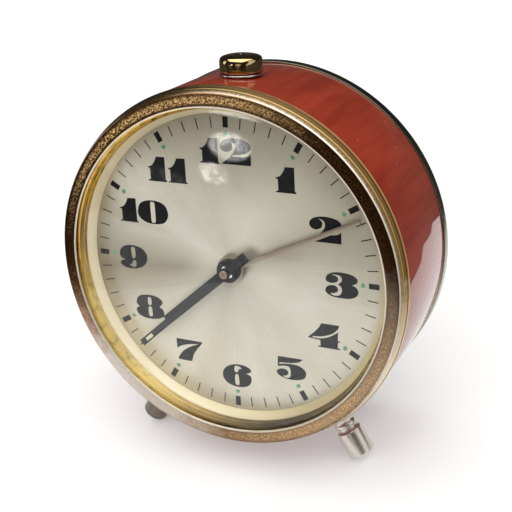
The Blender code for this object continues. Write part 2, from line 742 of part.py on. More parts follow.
def make_going_train():
    """Great wheel to escape wheel, each in mesh with the next."""
    great_phase = 0.0
    line = bearing(TIME_BARREL, CENTRE)
    centre_phase = meshed(TIME_BARREL_TEETH, great_phase, CENTRE_PINION_TEETH, line)
    make_winding("time", TIME_BARREL, TIME_BARREL_TEETH, TIME_MODULE, great_phase)
    stacked(
        "centre_wheel",
        BRASS,
        [
            (gear(CENTRE_PINION_TEETH, TIME_MODULE, centre_phase), *GREAT_PINION_LAYER),
            (circle(1.4 * MM), GREAT_PINION_LAYER[1], CENTRE_LAYER[0]),
            (gear(CENTRE_WHEEL_TEETH, CENTRE_MODULE, 0.0), *CENTRE_LAYER),
        ],
        [(circle(0.9 * MM), GREAT_PINION_LAYER[0], CENTRE_LAYER[1])],
    )
    third_phase = meshed(CENTRE_WHEEL_TEETH, 0.0, TRAIN_PINION_TEETH, bearing(CENTRE, THIRD))
    wheel_arbor(
        "third_wheel",
        THIRD,
        gear(THIRD_WHEEL_TEETH, THIRD_MODULE, 0.0),
        THIRD_LAYER,
        gear(TRAIN_PINION_TEETH, CENTRE_MODULE, third_phase),
        widened(CENTRE_LAYER),
    )
    fourth_phase = meshed(THIRD_WHEEL_TEETH, 0.0, TRAIN_PINION_TEETH, bearing(THIRD, FOURTH))
    wheel_arbor(
        "fourth_wheel",
        FOURTH,
        gear(FOURTH_WHEEL_TEETH, FOURTH_MODULE, 0.0),
        FOURTH_LAYER,
        gear(TRAIN_PINION_TEETH, THIRD_MODULE, fourth_phase),
        widened(THIRD_LAYER),
    )
    escape_phase = meshed(FOURTH_WHEEL_TEETH, 0.0, TRAIN_PINION_TEETH, bearing(FOURTH, ESCAPE))
    wheel_arbor(
        "escape_wheel",
        ESCAPE,
        saw(ESCAPE_TEETH, 5.5 * MM, 4.3 * MM),
        ESCAPE_LAYER,
        gear(TRAIN_PINION_TEETH, FOURTH_MODULE, escape_phase),
        widened(FOURTH_LAYER),
    )


def make_escapement():
    """The pallet fork, the balance with its hairspring, and the regulator."""
    toward_escape = bearing(PALLET, ESCAPE)
    toward_balance = bearing(PALLET, BALANCE)
    reach = 3.0 * MM
    spread = radians(75)
    arms = [
        polar(CENTRE, 1.5 * MM, toward_escape),
        polar(CENTRE, reach, toward_escape + spread / 2),
        polar(CENTRE, reach + 0.5 * MM, toward_escape + spread),
        polar(CENTRE, 1.7 * MM, toward_escape + 1.6 * spread),
        polar(CENTRE, 9.8 * MM, toward_balance + radians(4)),
        polar(CENTRE, 10.6 * MM, toward_balance + radians(7)),
        polar(CENTRE, 9.6 * MM, toward_balance),
        polar(CENTRE, 10.6 * MM, toward_balance - radians(7)),
        polar(CENTRE, 9.8 * MM, toward_balance - radians(4)),
        polar(CENTRE, 1.7 * MM, toward_escape - 1.6 * spread),
        polar(CENTRE, reach + 0.5 * MM, toward_escape - spread),
        polar(CENTRE, reach, toward_escape - spread / 2),
    ]
    arms.sort(key=lambda point: atan2(point[1], point[0]) % tau)
    low, high = ESCAPE_LAYER
    stacked(
        "pallet_fork",
        STEEL,
        [
            (circle(PIVOT_RADIUS, 8), PIVOT_BACK, ARBOR_BACK),
            (circle(ARBOR_RADIUS, 10), ARBOR_BACK, low),
            (arms, low, high),
            (circle(ARBOR_RADIUS, 10), high, ARBOR_FRONT),
            (circle(PIVOT_RADIUS, 8), ARBOR_FRONT, PIVOT_FRONT),
        ],
        at=PALLET,
    )
    rim_low = -11.2 * MM
    rim_high = -10.2 * MM
    gaps = []
    for start in (radians(15), radians(195)):
        outer = arc(6.3 * MM, start, start + radians(150), 6)
        inner = arc(2.0 * MM, start + radians(135), start + radians(15), 3)
        gaps.append((outer + inner, rim_low, rim_high))
    stacked(
        "balance_wheel",
        BRASS,
        [
            (circle(PIVOT_RADIUS, 8), PIVOT_BACK, ARBOR_BACK),
            (circle(ARBOR_RADIUS, 10), ARBOR_BACK, rim_low),
            (circle(7.6 * MM, 24), rim_low, rim_high),
            (circle(ARBOR_RADIUS, 10), rim_high, ARBOR_FRONT),
            (circle(PIVOT_RADIUS, 8), ARBOR_FRONT, PIVOT_FRONT),
        ],
        gaps,
        BALANCE,
    )
    stacked(
        "hairspring",
        BLUED_STEEL,
        [(spiral(1.4 * MM, 4.9 * MM, 2.5, 0.25 * MM), -14.4 * MM, -13.8 * MM)],
        at=BALANCE,
    )
    tip = polar(CENTRE, REGULATOR_LENGTH, REGULATOR_ANGLE)
    stacked(
        "regulator_lever",
        STEEL,
        [
            (circle(0.6 * MM, 8, tip), CASE_BACK - 1.6 * MM, -24.4 * MM),
            (strip(CENTRE, tip, 2.2 * MM, 1.1 * MM), -24.4 * MM, -23.6 * MM),
        ],
        at=BALANCE,
    )


def make_alarm_train():
    """The alarm's great wheel, its escape wheel, the hammer and the lever that stops it."""
    line = bearing(ALARM_BARREL, ALARM_ESCAPE)
    make_winding("alarm", ALARM_BARREL, ALARM_BARREL_TEETH, ALARM_MODULE, 0.0)
    pinion_phase = meshed(ALARM_BARREL_TEETH, 0.0, ALARM_PINION_TEETH, line)
    wheel_arbor(
        "alarm_escape_wheel",
        ALARM_ESCAPE,
        saw(ESCAPE_TEETH, 5.0 * MM, 3.9 * MM),
        THIRD_LAYER,
        gear(ALARM_PINION_TEETH, ALARM_MODULE, pinion_phase),
        GREAT_PINION_LAYER,
    )
    toward = bearing(HAMMER, ALARM_ESCAPE)
    pallet = 5.6 * MM
    spread = radians(42)
    anchor = [
        polar(CENTRE, 2.0 * MM, toward),
        polar(CENTRE, pallet - 1.4 * MM, toward + spread - radians(9)),
        polar(CENTRE, pallet, toward + spread),
        polar(CENTRE, pallet - 0.6 * MM, toward + spread + radians(14)),
        polar(CENTRE, 1.8 * MM, toward + radians(120)),
        polar(CENTRE, 1.8 * MM, toward + radians(180)),
        polar(CENTRE, 1.8 * MM, toward - radians(120)),
        polar(CENTRE, pallet - 0.6 * MM, toward - spread - radians(14)),
        polar(CENTRE, pallet, toward - spread),
        polar(CENTRE, pallet - 1.4 * MM, toward - spread + radians(9)),
    ]
    head = (HAMMER_HEAD[0] - HAMMER[0], HAMMER_HEAD[1] - HAMMER[1])
    arm_low = -25.0 * MM
    arm_high = -24.2 * MM
    stacked(
        "hammer",
        STEEL,
        [
            (circle(1.4 * MM, 10, head), -28.4 * MM, arm_low),
            (strip(CENTRE, head, 1.4 * MM, 1.55 * MM), arm_low, arm_high),
            (circle(0.8 * MM, 8), arm_high, THIRD_LAYER[0]),
            (anchor, *THIRD_LAYER),
            (circle(0.8 * MM, 8), THIRD_LAYER[1], ARBOR_FRONT),
            (circle(PIVOT_RADIUS, 8), ARBOR_FRONT, PIVOT_FRONT),
        ],
        at=HAMMER,
    )
    nose = (-STOP_LEVER[0], 5.4 * MM)
    lever_tail = (4.5 * MM, -9.0 * MM)
    stacked(
        "stop_lever",
        STEEL,
        [
            (strip(CENTRE, nose, 1.8 * MM, 1.1 * MM), -10.4 * MM, -9.6 * MM),
            (strip(lever_tail, CENTRE, 0.9 * MM, 1.5 * MM), -9.6 * MM, -8.8 * MM),
            (circle(ARBOR_RADIUS, 10), -8.8 * MM, ARBOR_FRONT),
            (circle(PIVOT_RADIUS, 8), ARBOR_FRONT, PIVOT_FRONT),
        ],
        at=STOP_LEVER,
    )


# ---------------------------------------------------------------- standing


def lowest_of_foot(lean):
    """How far below the dial's centre a foot reaches when the clock leans back."""
    across = cos(FOOT_ANGLE) * FOOT_TIP * cos(lean) + FOOT_DEPTH * sin(lean)
    return across - FOOT_TIP_RADIUS * hypot(sin(FOOT_ANGLE) * cos(lean), sin(lean))


def lowest_of_rear(lean):
    """How far below the dial's centre the rear bezel's edge reaches."""
    return -BEZEL_RADIUS * cos(lean) + (CASE_BACK + 0.4 * MM) * sin(lean)


def resting_lean():
    """The lean at which both feet and the rear bezel touch the table, found by halving."""
    low, high = 0.0, radians(40)
    for _ in range(50):
        middle = (low + high) / 2
        if lowest_of_rear(middle) > lowest_of_foot(middle):
            low = middle
        else:
            high = middle
    return low


def stand_on_table():
    """Leans the clock back, then puts the middle of its outline over the origin and its feet at height 0."""
    CLOCK.rotation_euler = (pi / 2 - resting_lean(), 0.0, 0.0)
    bpy.context.view_layer.update()
    corners = []
    for piece in bpy.data.objects:
        if piece.type == "MESH" and not piece.hide_render:
            corners += [piece.matrix_world @ vertex.co for vertex in piece.data.vertices]
    low = Vector(min(corner[axis] for corner in corners) for axis in range(3))
    high = Vector(max(corner[axis] for corner in corners) for axis in range(3))
    CLOCK.location = (-(low.x + high.x) / 2, -(low.y + high.y) / 2, -low.z)
    bpy.context.view_layer.update()


make_case()
make_crystal()
make_back_cover()
make_foot("right", FOOT_ANGLE)
make_foot("left", -FOOT_ANGLE)
make_button()
make_hands()
make_motion_work()
make_knob("time_set_knob", CENTRE, 5.2 * MM, 0.9 * MM)
make_knob("alarm_set_knob", ALARM_SETTER, 4.2 * MM, 1.1 * MM)
make_plates()
make_going_train()
make_escapement()
make_alarm_train()
stand_on_table()
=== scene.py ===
"""A wind-up bedside alarm clock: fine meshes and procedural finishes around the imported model.

Pieces are drawn on the dial's own plane in millimetres: x to the right, u up the dial, w out towards the
reader, with w = 0 on the dial's printed face. CLOCK turns that into the row frame.
"""

import json
from functools import partial
from math import atan2, cos, degrees, pi, radians, sin, sqrt, tau

import bmesh
import bpy
from mathutils import Matrix, Vector
from mathutils.geometry import tessellate_polygon


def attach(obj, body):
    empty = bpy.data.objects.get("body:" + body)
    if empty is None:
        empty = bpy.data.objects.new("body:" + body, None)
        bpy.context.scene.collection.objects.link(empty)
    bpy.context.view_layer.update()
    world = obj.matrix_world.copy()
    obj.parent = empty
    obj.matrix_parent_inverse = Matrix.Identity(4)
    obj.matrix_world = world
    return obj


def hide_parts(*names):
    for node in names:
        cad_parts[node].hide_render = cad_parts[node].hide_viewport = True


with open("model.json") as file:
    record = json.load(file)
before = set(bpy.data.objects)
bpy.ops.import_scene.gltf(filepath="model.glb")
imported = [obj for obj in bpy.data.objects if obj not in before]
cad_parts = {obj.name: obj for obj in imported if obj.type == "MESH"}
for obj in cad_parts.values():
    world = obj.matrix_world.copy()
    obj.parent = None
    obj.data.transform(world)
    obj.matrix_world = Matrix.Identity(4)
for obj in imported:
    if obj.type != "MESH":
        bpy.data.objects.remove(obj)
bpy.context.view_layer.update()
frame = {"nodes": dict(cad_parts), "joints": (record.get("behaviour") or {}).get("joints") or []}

MM = 0.001
TINY = 1e-6
SHARP = 35  # degrees between faces that stay a hard edge

spin = next(joint for joint in frame["joints"] if joint["name"] == "minute_spin")
OUT = -Vector(spin["axis"]).normalized()
RIGHT = Vector((1.0, 0.0, 0.0))
UP = OUT.cross(RIGHT)
TURN = Matrix((RIGHT, UP, OUT)).transposed()
CLOCK = Matrix.Translation(spin["pos_m"]) @ TURN.to_4x4() @ Matrix.Scale(MM, 4)

# ---------------- node helpers


def add_node(tree, kind, inputs=None, **settings):
    """A node with its settings, and with each input either linked or given a value."""
    node = tree.nodes.new(kind)
    for key, value in settings.items():
        setattr(node, key, value)
    for key, value in (inputs or {}).items():
        if isinstance(value, bpy.types.NodeSocket):
            tree.links.new(value, node.inputs[key])
        else:
            node.inputs[key].default_value = value
    return node


def new_material(name, **values):
    """A Principled material, with values for the shader's own sockets."""
    material = bpy.data.materials.new(name)
    material.use_nodes = True
    shader = material.node_tree.nodes["Principled BSDF"]
    for socket, value in values.items():
        shader.inputs[socket.replace("_", " ")].default_value = value
    return material, material.node_tree, shader


class Finish:
    """A Principled material and the nodes that feed it, in the clock's own millimetres."""

    def __init__(self, name, **values):
        self.material, self.tree, self.shader = new_material(name, **values)
        coords = self.add("ShaderNodeTexCoord")
        local = self.add("ShaderNodeMapping", {"Vector": coords.outputs["Object"]}, vector_type="TEXTURE")
        local.inputs["Location"].default_value = spin["pos_m"]
        local.inputs["Rotation"].default_value = TURN.to_euler()
        local.inputs["Scale"].default_value = (MM, MM, MM)
        self.point = local.outputs["Vector"]
        self.x, self.u, self.w = self.add("ShaderNodeSeparateXYZ", {0: self.point}).outputs
        flat = self.add("ShaderNodeCombineXYZ", {0: self.x, 1: self.u}).outputs[0]
        self.radius = self.vector("LENGTH", flat).outputs["Value"]
        self.heading = self.vector("NORMALIZE", flat).outputs["Vector"]
        turn = self.math("ARCTAN2", self.x, self.u)
        # 0.5 at the top of the dial, 0.75 at the three, 0 and 1 at the bottom, 0.25 at the nine
        self.round = self.plus(self.math("DIVIDE", turn, tau), 0.5)

    def add(self, kind, inputs=None, **settings):
        return add_node(self.tree, kind, inputs, **settings)

    def math(self, operation, result, *others, clamp=False):
        """The operation over all the values, from left to right."""
        for other in others:
            node = self.add("ShaderNodeMath", {0: result, 1: other}, operation=operation)
            result = node.outputs[0]
        node.use_clamp = clamp
        return result

    def times(self, *values, clamp=False):
        return self.math("MULTIPLY", *values, clamp=clamp)

    def plus(self, *values, clamp=False):
        return self.math("ADD", *values, clamp=clamp)

    def vector(self, operation, a, b=(0.0, 0.0, 0.0)):
        return self.add("ShaderNodeVectorMath", {0: a, 1: b}, operation=operation)

    def noise(self, point, scale, detail=4.0, rough=0.55, twist=0.0):
        return self.add(
            "ShaderNodeTexNoise",
            {"Vector": point, "Scale": scale, "Detail": detail, "Roughness": rough, "Distortion": twist},
        ).outputs["Fac"]

    def lines(self, around, across, reach):
        """Coordinates that change at one rate round the axis and at another with reach."""
        stretch = self.vector("MULTIPLY", self.heading, (around, around, around)).outputs[0]
        rise = self.add("ShaderNodeCombineXYZ", {2: self.times(reach, across)}).outputs[0]
        return self.vector("ADD", stretch, rise).outputs[0]

    def along(self, around, across):
        """Lines round a turned surface, following its radius and depth."""
        return self.lines(around, across, self.plus(self.radius, self.w))

    def streaks(self, around, across):
        """Lines that follow the case's depth only."""
        return self.lines(around, across, self.w)

    def ramp(self, value, *stops):
        """Stops are (place, grey) or (place, (r, g, b))."""
        node = self.add("ShaderNodeValToRGB", {0: value})
        points = node.color_ramp.elements
        while len(points) < len(stops):
            points.new(1.0)
        for point, (place, shade) in zip(points, stops):
            point.position = place
            point.color = (*shade, 1.0) if isinstance(shade, tuple) else (shade, shade, shade, 1.0)
        return node.outputs["Color"]

    def band(self, value, low, high):
        """0 below low, 1 above high."""
        node = self.add("ShaderNodeMapRange", {0: value, 1: low, 2: high}, interpolation_type="SMOOTHSTEP")
        return node.outputs[0]

    def mix(self, share, a, b):
        node = self.add("ShaderNodeMix", data_type="RGBA")
        for key, value in ((0, share), (6, a), (7, b)):
            if isinstance(value, bpy.types.NodeSocket):
                self.tree.links.new(value, node.inputs[key])
            else:
                node.inputs[key].default_value = (*value, 1.0) if isinstance(value, tuple) else value
        return node.outputs[2]

    def feed(self, **sockets):
        for socket, output in sockets.items():
            self.tree.links.new(output, self.shader.inputs[socket.replace("_", " ")])

    def bump(self, height, strength, distance):
        reach = distance * MM
        node = self.add("ShaderNodeBump", {"Height": height, "Strength": strength, "Distance": reach})
        self.feed(Normal=node.outputs["Normal"])


# ---------------- mesh helpers


def rounded(section, fillet=0.12, steps=3, closed=True):
    """The section with each corner turned into a small curve. A point's third number is its own fillet."""
    points = [Vector(point[:2]) for point in section]
    count = len(points)
    result = []
    for i, corner in enumerate(points):
        radius = section[i][2] if len(section[i]) > 2 else fillet
        if (not closed and i in (0, count - 1)) or radius == 0:
            result.append(corner)
            continue
        back, ahead = points[i - 1] - corner, points[(i + 1) % count] - corner
        if back.angle(-ahead, 0.0) < radians(6):
            result.append(corner)
            continue
        start = corner + back.normalized() * min(radius, 0.45 * back.length)
        end = corner + ahead.normalized() * min(radius, 0.45 * ahead.length)
        for step in range(steps + 1):
            t = step / steps
            result.append(start * (1 - t) ** 2 + corner * 2 * t * (1 - t) + end * t * t)
    return [tuple(point) for point in result]


def placed(name, data):
    """A new object in the scene."""
    thing = bpy.data.objects.new(name, data)
    bpy.context.scene.collection.objects.link(thing)
    return thing


def smooth_faces(mesh):
    mesh.shade_smooth()
    mesh.set_sharp_from_angle(angle=radians(SHARP))


def finished(bm, name, place=Matrix.Identity(4)):
    """Turns a bmesh drawn in local millimetres into an object in the row frame."""
    bmesh.ops.recalc_face_normals(bm, faces=bm.faces)
    mesh = bpy.data.meshes.new(name)
    bm.to_mesh(mesh)
    bm.free()
    mesh.transform(CLOCK @ place)
    smooth_faces(mesh)
    return placed(name, mesh)


def lathe(name, section, steps=192, place=Matrix.Identity(4)):
    """Spins a closed (radius, depth) section round the local w axis; points on the axis close it."""
    bm = bmesh.new()
    layer = bm.loops.layers.uv.new("turning")
    rings = []
    for radius, depth in section:
        if radius < TINY:
            rings.append([bm.verts.new((0.0, 0.0, depth))] * steps)
            continue
        rings.append([bm.verts.new((x, y, depth)) for x, y in circle(radius, steps)])
    for row, (near, far) in enumerate(zip(rings, rings[1:] + rings[:1])):
        for i in range(steps):
            j = (i + 1) % steps
            corners = list(dict.fromkeys((near[i], near[j], far[j], far[i])))
            if len(corners) < 3:
                continue
            face = bm.faces.new(corners)
            for loop in face.loops:
                turn = i + (1 if loop.vert in (near[j], far[j]) and len(corners) == 4 else 0)
                loop[layer].uv = (turn / steps, (row + (loop.vert in (far[i], far[j]))) / len(rings))
    return finished(bm, name, place=place)


def is_level(edge):
    start, end = edge.verts
    return abs(start.co.z - end.co.z) < TINY


def plate(name, outlines, low, high, bevel=0.0, place=Matrix.Identity(4)):
    """A flat plate: the first outline is its edge, and any others are holes in it."""
    bm = bmesh.new()
    flat = [[Vector((x, y, 0.0)) for x, y in outline] for outline in outlines]
    triangles = tessellate_polygon(flat)
    floors = [[bm.verts.new((p.x, p.y, depth)) for loop in flat for p in loop] for depth in (low, high)]
    for triangle in triangles:
        for floor in floors:
            try:
                bm.faces.new([floor[i] for i in triangle])
            except ValueError:
                pass
    start = 0
    walls = []
    for loop in flat:
        for i in range(len(loop)):
            a, b = start + i, start + (i + 1) % len(loop)
            walls.append(bm.faces.new((floors[0][a], floors[0][b], floors[1][b], floors[1][a])))
        start += len(loop)
    bmesh.ops.recalc_face_normals(bm, faces=bm.faces)
    if bevel:
        rims = {edge for wall in walls for edge in wall.edges if is_level(edge)}
        bmesh.ops.bevel(
            bm, geom=list(rims), offset=bevel, segments=2, profile=0.6, affect="EDGES", clamp_overlap=True
        )
    return finished(bm, name, place)


def joined(name, pieces):
    """One object out of several."""
    bm = bmesh.new()
    for piece in pieces:
        bm.from_mesh(piece.data)
        bpy.data.objects.remove(piece, do_unlink=True)
    mesh = bpy.data.meshes.new(name)
    bm.to_mesh(mesh)
    bm.free()
    return placed(name, mesh)


def drilled(piece, cutters):
    """Cuts the cutters out of a piece for good."""
    for cutter in cutters:
        cut = piece.modifiers.new("cut", "BOOLEAN")
        cut.operation = "DIFFERENCE"
        cut.solver = "EXACT"
        cut.object = cutter
    bpy.context.view_layer.update()
    mesh = bpy.data.meshes.new_from_object(piece.evaluated_get(bpy.context.evaluated_depsgraph_get()))
    piece.modifiers.clear()
    piece.data = mesh
    for cutter in cutters:
        bpy.data.objects.remove(cutter, do_unlink=True)
    smooth_faces(mesh)
    return piece


def circle(radius, steps=48, centre=(0.0, 0.0)):
    turns = [tau * i / steps for i in range(steps)]
    return [(centre[0] + radius * cos(a), centre[1] + radius * sin(a)) for a in turns]


def arc(radius, start, end, steps, centre=(0.0, 0.0)):
    turns = [start + (end - start) * i / steps for i in range(steps + 1)]
    return [(centre[0] + radius * cos(a), centre[1] + radius * sin(a)) for a in turns]


def curved(loop, steps=6):
    """A smooth outline through the points; a point with a third number is a corner."""
    points = [Vector(point[:2]) for point in loop]
    corners = [len(point) > 2 for point in loop]
    count = len(loop)
    result = []
    for i in range(count):
        a, b = points[i], points[(i + 1) % count]
        before = a if corners[i] else points[i - 1]
        after = b if corners[(i + 1) % count] else points[(i + 2) % count]
        straight = corners[i] and corners[(i + 1) % count]
        for step in range(1 if straight else steps):
            t = step / steps
            spot = 2 * a + (b - before) * t
            spot += (2 * before - 5 * a + 4 * b - after) * t * t
            spot += (3 * a - before - 3 * b + after) * t**3
            result.append(tuple(spot / 2))
    return result


def moved(outline, x, y, turn=0.0):
    return [(x + cos(turn) * a - sin(turn) * b, y + sin(turn) * a + cos(turn) * b) for a, b in outline]


def rotated(outline, angle):
    return moved(outline, 0.0, 0.0, angle)


def upright(half, low, high):
    """An upright bar over the middle, from one radius to another."""
    return [(half, low), (half, high), (-half, high), (-half, low)]


def radial(clock_angle, depth):
    """A local frame whose w axis points out of the case, at a clock angle and a depth."""
    return (
        Matrix.Translation((0.0, 0.0, depth))
        @ Matrix.Rotation(pi - clock_angle, 4, "Z")
        @ Matrix.Rotation(pi / 2, 4, "X")
    )


def dress(piece, finish, body, slot, *nodes):
    """Gives a piece its finish, says which body it rides and hides what it replaces; the colour slot is not
    used.
    """
    piece.data.materials.clear()
    piece.data.materials.append(finish)
    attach(piece, body)
    if nodes:
        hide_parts(*nodes)
    return piece


# ---------------- finishes


def bezel_finish():
    f = Finish("worn_bezel_painted_light", Specular_Tint=(1.0, 0.88, 0.72, 1.0))
    wander = f.times(f.math("SUBTRACT", f.noise(f.point, 0.35, 3.0), 0.5), 0.06)
    place = f.plus(f.round, wander)
    # The face's colour round the clock is wear and painted reflection and shade together: pale on the lower
    # left, dark on the left and the upper right.
    worn = f.ramp(
        place,
        (0.00, (0.20, 0.12, 0.07)),
        (0.06, (0.48, 0.41, 0.35)),
        (0.14, (0.62, 0.56, 0.51)),
        (0.19, (0.34, 0.20, 0.14)),
        (0.23, (0.090, 0.036, 0.013)),
        (0.33, (0.075, 0.030, 0.010)),
        (0.41, (0.17, 0.080, 0.030)),
        (0.52, (0.32, 0.18, 0.080)),
        (0.60, (0.070, 0.030, 0.010)),
        (0.715, (0.060, 0.024, 0.008)),
        (0.745, (0.20, 0.14, 0.10)),
        (0.83, (0.30, 0.21, 0.14)),
        (0.92, (0.31, 0.20, 0.12)),
        (1.00, (0.20, 0.12, 0.07)),
    )
    coarse = f.noise(f.point, 1.7, 6.0, 0.75)
    grit = f.noise(f.point, 4.5, 6.0, 0.7)
    # Bright flecks where the face is rough are painted glints, placed round the clock where the glints
    # fall.
    painted_glint_places = f.ramp(
        place,
        (0.0, 0.40), (0.08, 0.15), (0.20, 0.30), (0.26, 0.0), (0.30, 0.5), (0.36, 1.0), (0.47, 1.0),
        (0.54, 0.8), (0.60, 0.1), (0.73, 0.0), (0.79, 0.5), (0.84, 0.75), (1.0, 0.45),
    )
    inside = f.band(f.radius, 41.1, 41.7)
    outside = f.band(f.radius, 43.5, 42.7)
    painted_glint_places = f.times(inside, outside, painted_glint_places)
    specks = f.plus(f.times(grit, 0.55), f.times(coarse, 0.45))
    painted_glint_flecks = f.times(f.band(specks, 0.50, 0.55), painted_glint_places)
    face = f.mix(painted_glint_flecks, worn, (1.0, 0.65, 0.27))
    pits = f.band(f.noise(f.point, 2.6, 8.0, 0.75), 0.60, 0.68)
    face = f.mix(f.times(pits, 0.5), face, (0.05, 0.026, 0.014))
    notches = f.ramp(
        place,
        (0.0, 0.3), (0.1, 0.6), (0.3, 0.4), (0.5, 0.0), (0.82, 0.0), (0.85, 1.0), (0.93, 1.0), (1.0, 0.3),
    )
    notched = f.times(f.band(coarse, 0.50, 0.58), f.band(f.radius, 43.2, 43.75), notches)
    face = f.mix(notched, face, (0.035, 0.018, 0.010))
    # A painted highlight along the crest, on the upper left and from the top round to the right.
    polished = f.ramp(
        place,
        (0.29, 0.0), (0.32, 0.6), (0.37, 0.6), (0.41, 0.0), (0.47, 0.0), (0.54, 0.45), (0.60, 1.0),
        (0.80, 1.0), (0.86, 0.0),
    )
    painted_crest_highlight = f.times(f.band(f.radius, 43.68, 43.80), polished)
    face = f.mix(painted_crest_highlight, face, (1.0, 0.93, 0.84))
    turned = f.band(f.noise(f.streaks(1.5, 7.0), 1.0, 3.0), 0.38, 0.62)
    # The flank's colour round the clock is painted reflection and shade: pale at the bottom, bright on the
    # right, dark on the left and the top.
    flank = f.ramp(
        place,
        (0.0, (0.74, 0.69, 0.62)),
        (0.22, (0.36, 0.27, 0.18)),
        (0.40, (0.22, 0.145, 0.080)),
        (0.53, (0.26, 0.170, 0.080)),
        (0.62, (0.34, 0.21, 0.075)),
        (0.73, (0.56, 0.37, 0.12)),
        (0.75, (1.0, 0.80, 0.50)),
        (0.80, (0.96, 0.86, 0.70)),
        (0.90, (0.84, 0.80, 0.74)),
    )
    dull = f.ramp(place, (0.50, 0.55), (0.72, 0.55), (0.77, 0.15), (1.0, 0.3))
    flank = f.mix(f.times(turned, dull), flank, (0.16, 0.10, 0.035))
    rubbed = f.times(f.band(f.w, 5.0, 5.8), f.band(coarse, 0.42, 0.56))
    flank = f.mix(f.times(rubbed, 0.7), flank, (0.66, 0.56, 0.40))
    flank = f.mix(f.times(pits, 0.4), flank, (0.07, 0.045, 0.022))
    # A painted highlight along the ridge, from the top round to the right.
    painted_ridge_highlight = f.times(f.band(f.w, 4.52, 4.64), f.band(f.w, 4.92, 4.80))
    ridge_highlight_places = f.ramp(place, (0.48, 0.1), (0.60, 0.5), (0.72, 0.6), (0.80, 0.1))
    flank = f.mix(f.times(painted_ridge_highlight, ridge_highlight_places), flank, (1.0, 0.72, 0.28))
    groove = f.times(f.band(f.w, 3.62, 3.50), f.band(f.w, 3.24, 3.36))
    flank = f.mix(f.times(groove, 0.8), flank, (0.08, 0.045, 0.015))
    # A painted orange highlight on the back edge of the flank, from the top round to the lower right.
    edge_highlight_places = f.ramp(place, (0.46, 0.15), (0.60, 0.5), (0.68, 0.6), (0.84, 0.6), (0.90, 0.15))
    edge = f.times(f.band(f.w, 3.00, 2.82), edge_highlight_places)
    flank = f.mix(edge, flank, (1.0, 0.60, 0.27))
    beyond = f.band(f.radius, 43.95, 44.08)
    colour = f.mix(beyond, face, flank)
    # A painted highlight round the inner lip.
    painted_lip_highlight = f.band(f.radius, 40.95, 40.75)
    colour = f.mix(painted_lip_highlight, colour, (0.98, 0.90, 0.76))
    rough = f.plus(f.times(grit, 0.35), 0.10, f.times(painted_glint_flecks, 0.30), f.times(painted_crest_highlight, 0.35))
    rough = f.plus(rough, f.times(painted_lip_highlight, 0.15), clamp=True)
    upper = f.ramp(place, (0.27, 0.0), (0.33, 1.0), (0.54, 1.0), (0.62, 0.0))
    dry = f.math("MAXIMUM", f.times(painted_glint_flecks, upper, 0.85), f.times(edge, beyond, 0.6))
    f.feed(Base_Color=colour, Roughness=rough, Metallic=f.math("SUBTRACT", 1.0, dry, clamp=True))
    f.bump(f.plus(f.times(grit, 0.5), f.times(coarse, 0.5), f.times(pits, -0.6)), 0.6, 0.06)
    return f.material


def rear_bezel_finish():
    f = Finish("rear_bezel_metal", Metallic=1.0)
    grain = f.noise(f.along(3.0, 5.0), 1.0, 5.0, 0.6)
    spots = f.band(f.noise(f.point, 1.6, 7.0, 0.7), 0.58, 0.68)
    colour = f.mix(grain, (0.30, 0.28, 0.22), (0.50, 0.47, 0.39))
    colour = f.mix(f.times(spots, 0.7), colour, (0.16, 0.12, 0.07))
    darker_by_angle = f.ramp(f.round, (0.15, 0.0), (0.35, 0.7), (0.68, 0.7), (0.75, 0.0))
    colour = f.mix(darker_by_angle, colour, (0.13, 0.11, 0.065))
    f.feed(Base_Color=colour, Roughness=f.plus(f.times(grain, 0.25), 0.14))
    f.bump(grain, 0.2, 0.04)
    return f.material


def metal_finish(name, dark, bright, rough, around, across, wear=(0.1, 0.07, 0.04), worn=0.35, grain=0.15):
    """A plated or bare metal turned on a lathe, with tarnish in soft patches."""
    f = Finish(name, Metallic=1.0)
    lines = f.noise(f.along(around, across), 1.0, 4.0, 0.6)
    cloud = f.noise(f.point, 0.9, 5.0, 0.6)
    patches = f.band(f.noise(f.point, 1.7, 7.0, 0.7), 0.56, 0.70)
    colour = f.mix(f.times(f.plus(lines, cloud), 0.5), dark, bright)
    colour = f.mix(f.times(patches, worn), colour, wear)
    roughness = f.plus(f.times(lines, grain), rough, f.times(patches, 0.2 * worn), clamp=True)
    f.feed(Base_Color=colour, Roughness=roughness)
    f.bump(lines, 0.12, 0.03)
    return f.material


def wall_finish():
    """The polished gold wall under the glass, with painted shade low on its right side and painted light on
    its lower left.
    """
    f = Finish("gold_wall", Specular_Tint=(0.95, 0.74, 0.42, 1.0))
    # Painted light and shade round the wall: bright and less metallic on the lower left, dark from the
    # lower right to the bottom.
    tone = f.ramp(
        f.round,
        (0.00, (0.13, 0.09, 0.022)),
        (0.05, (0.50, 0.34, 0.09)),
        (0.11, (1.0, 0.75, 0.24)),
        (0.20, (1.0, 0.72, 0.20)),
        (0.26, (0.62, 0.36, 0.06)),
        (0.40, (0.72, 0.45, 0.11)),
        (0.75, (0.62, 0.44, 0.15)),
        (0.84, (0.20, 0.135, 0.035)),
        (0.93, (0.11, 0.075, 0.018)),
        (1.00, (0.13, 0.09, 0.022)),
    )
    lines = f.noise(f.along(1.5, 8.0), 1.0, 4.0, 0.6)
    stains = f.band(f.noise(f.point, 0.45, 4.0, 0.6), 0.52, 0.64)
    colour = f.mix(f.times(lines, 0.35), tone, (0.40, 0.26, 0.06))
    colour = f.mix(f.times(stains, 0.45), colour, (0.24, 0.17, 0.045))
    less_metallic_by_angle = f.ramp(f.round, (0.02, 1.0), (0.08, 0.45), (0.20, 0.45), (0.26, 1.0))
    f.feed(Base_Color=colour, Metallic=less_metallic_by_angle, Roughness=f.plus(f.times(lines, 0.10), 0.07))
    f.bump(lines, 0.12, 0.03)
    return f.material


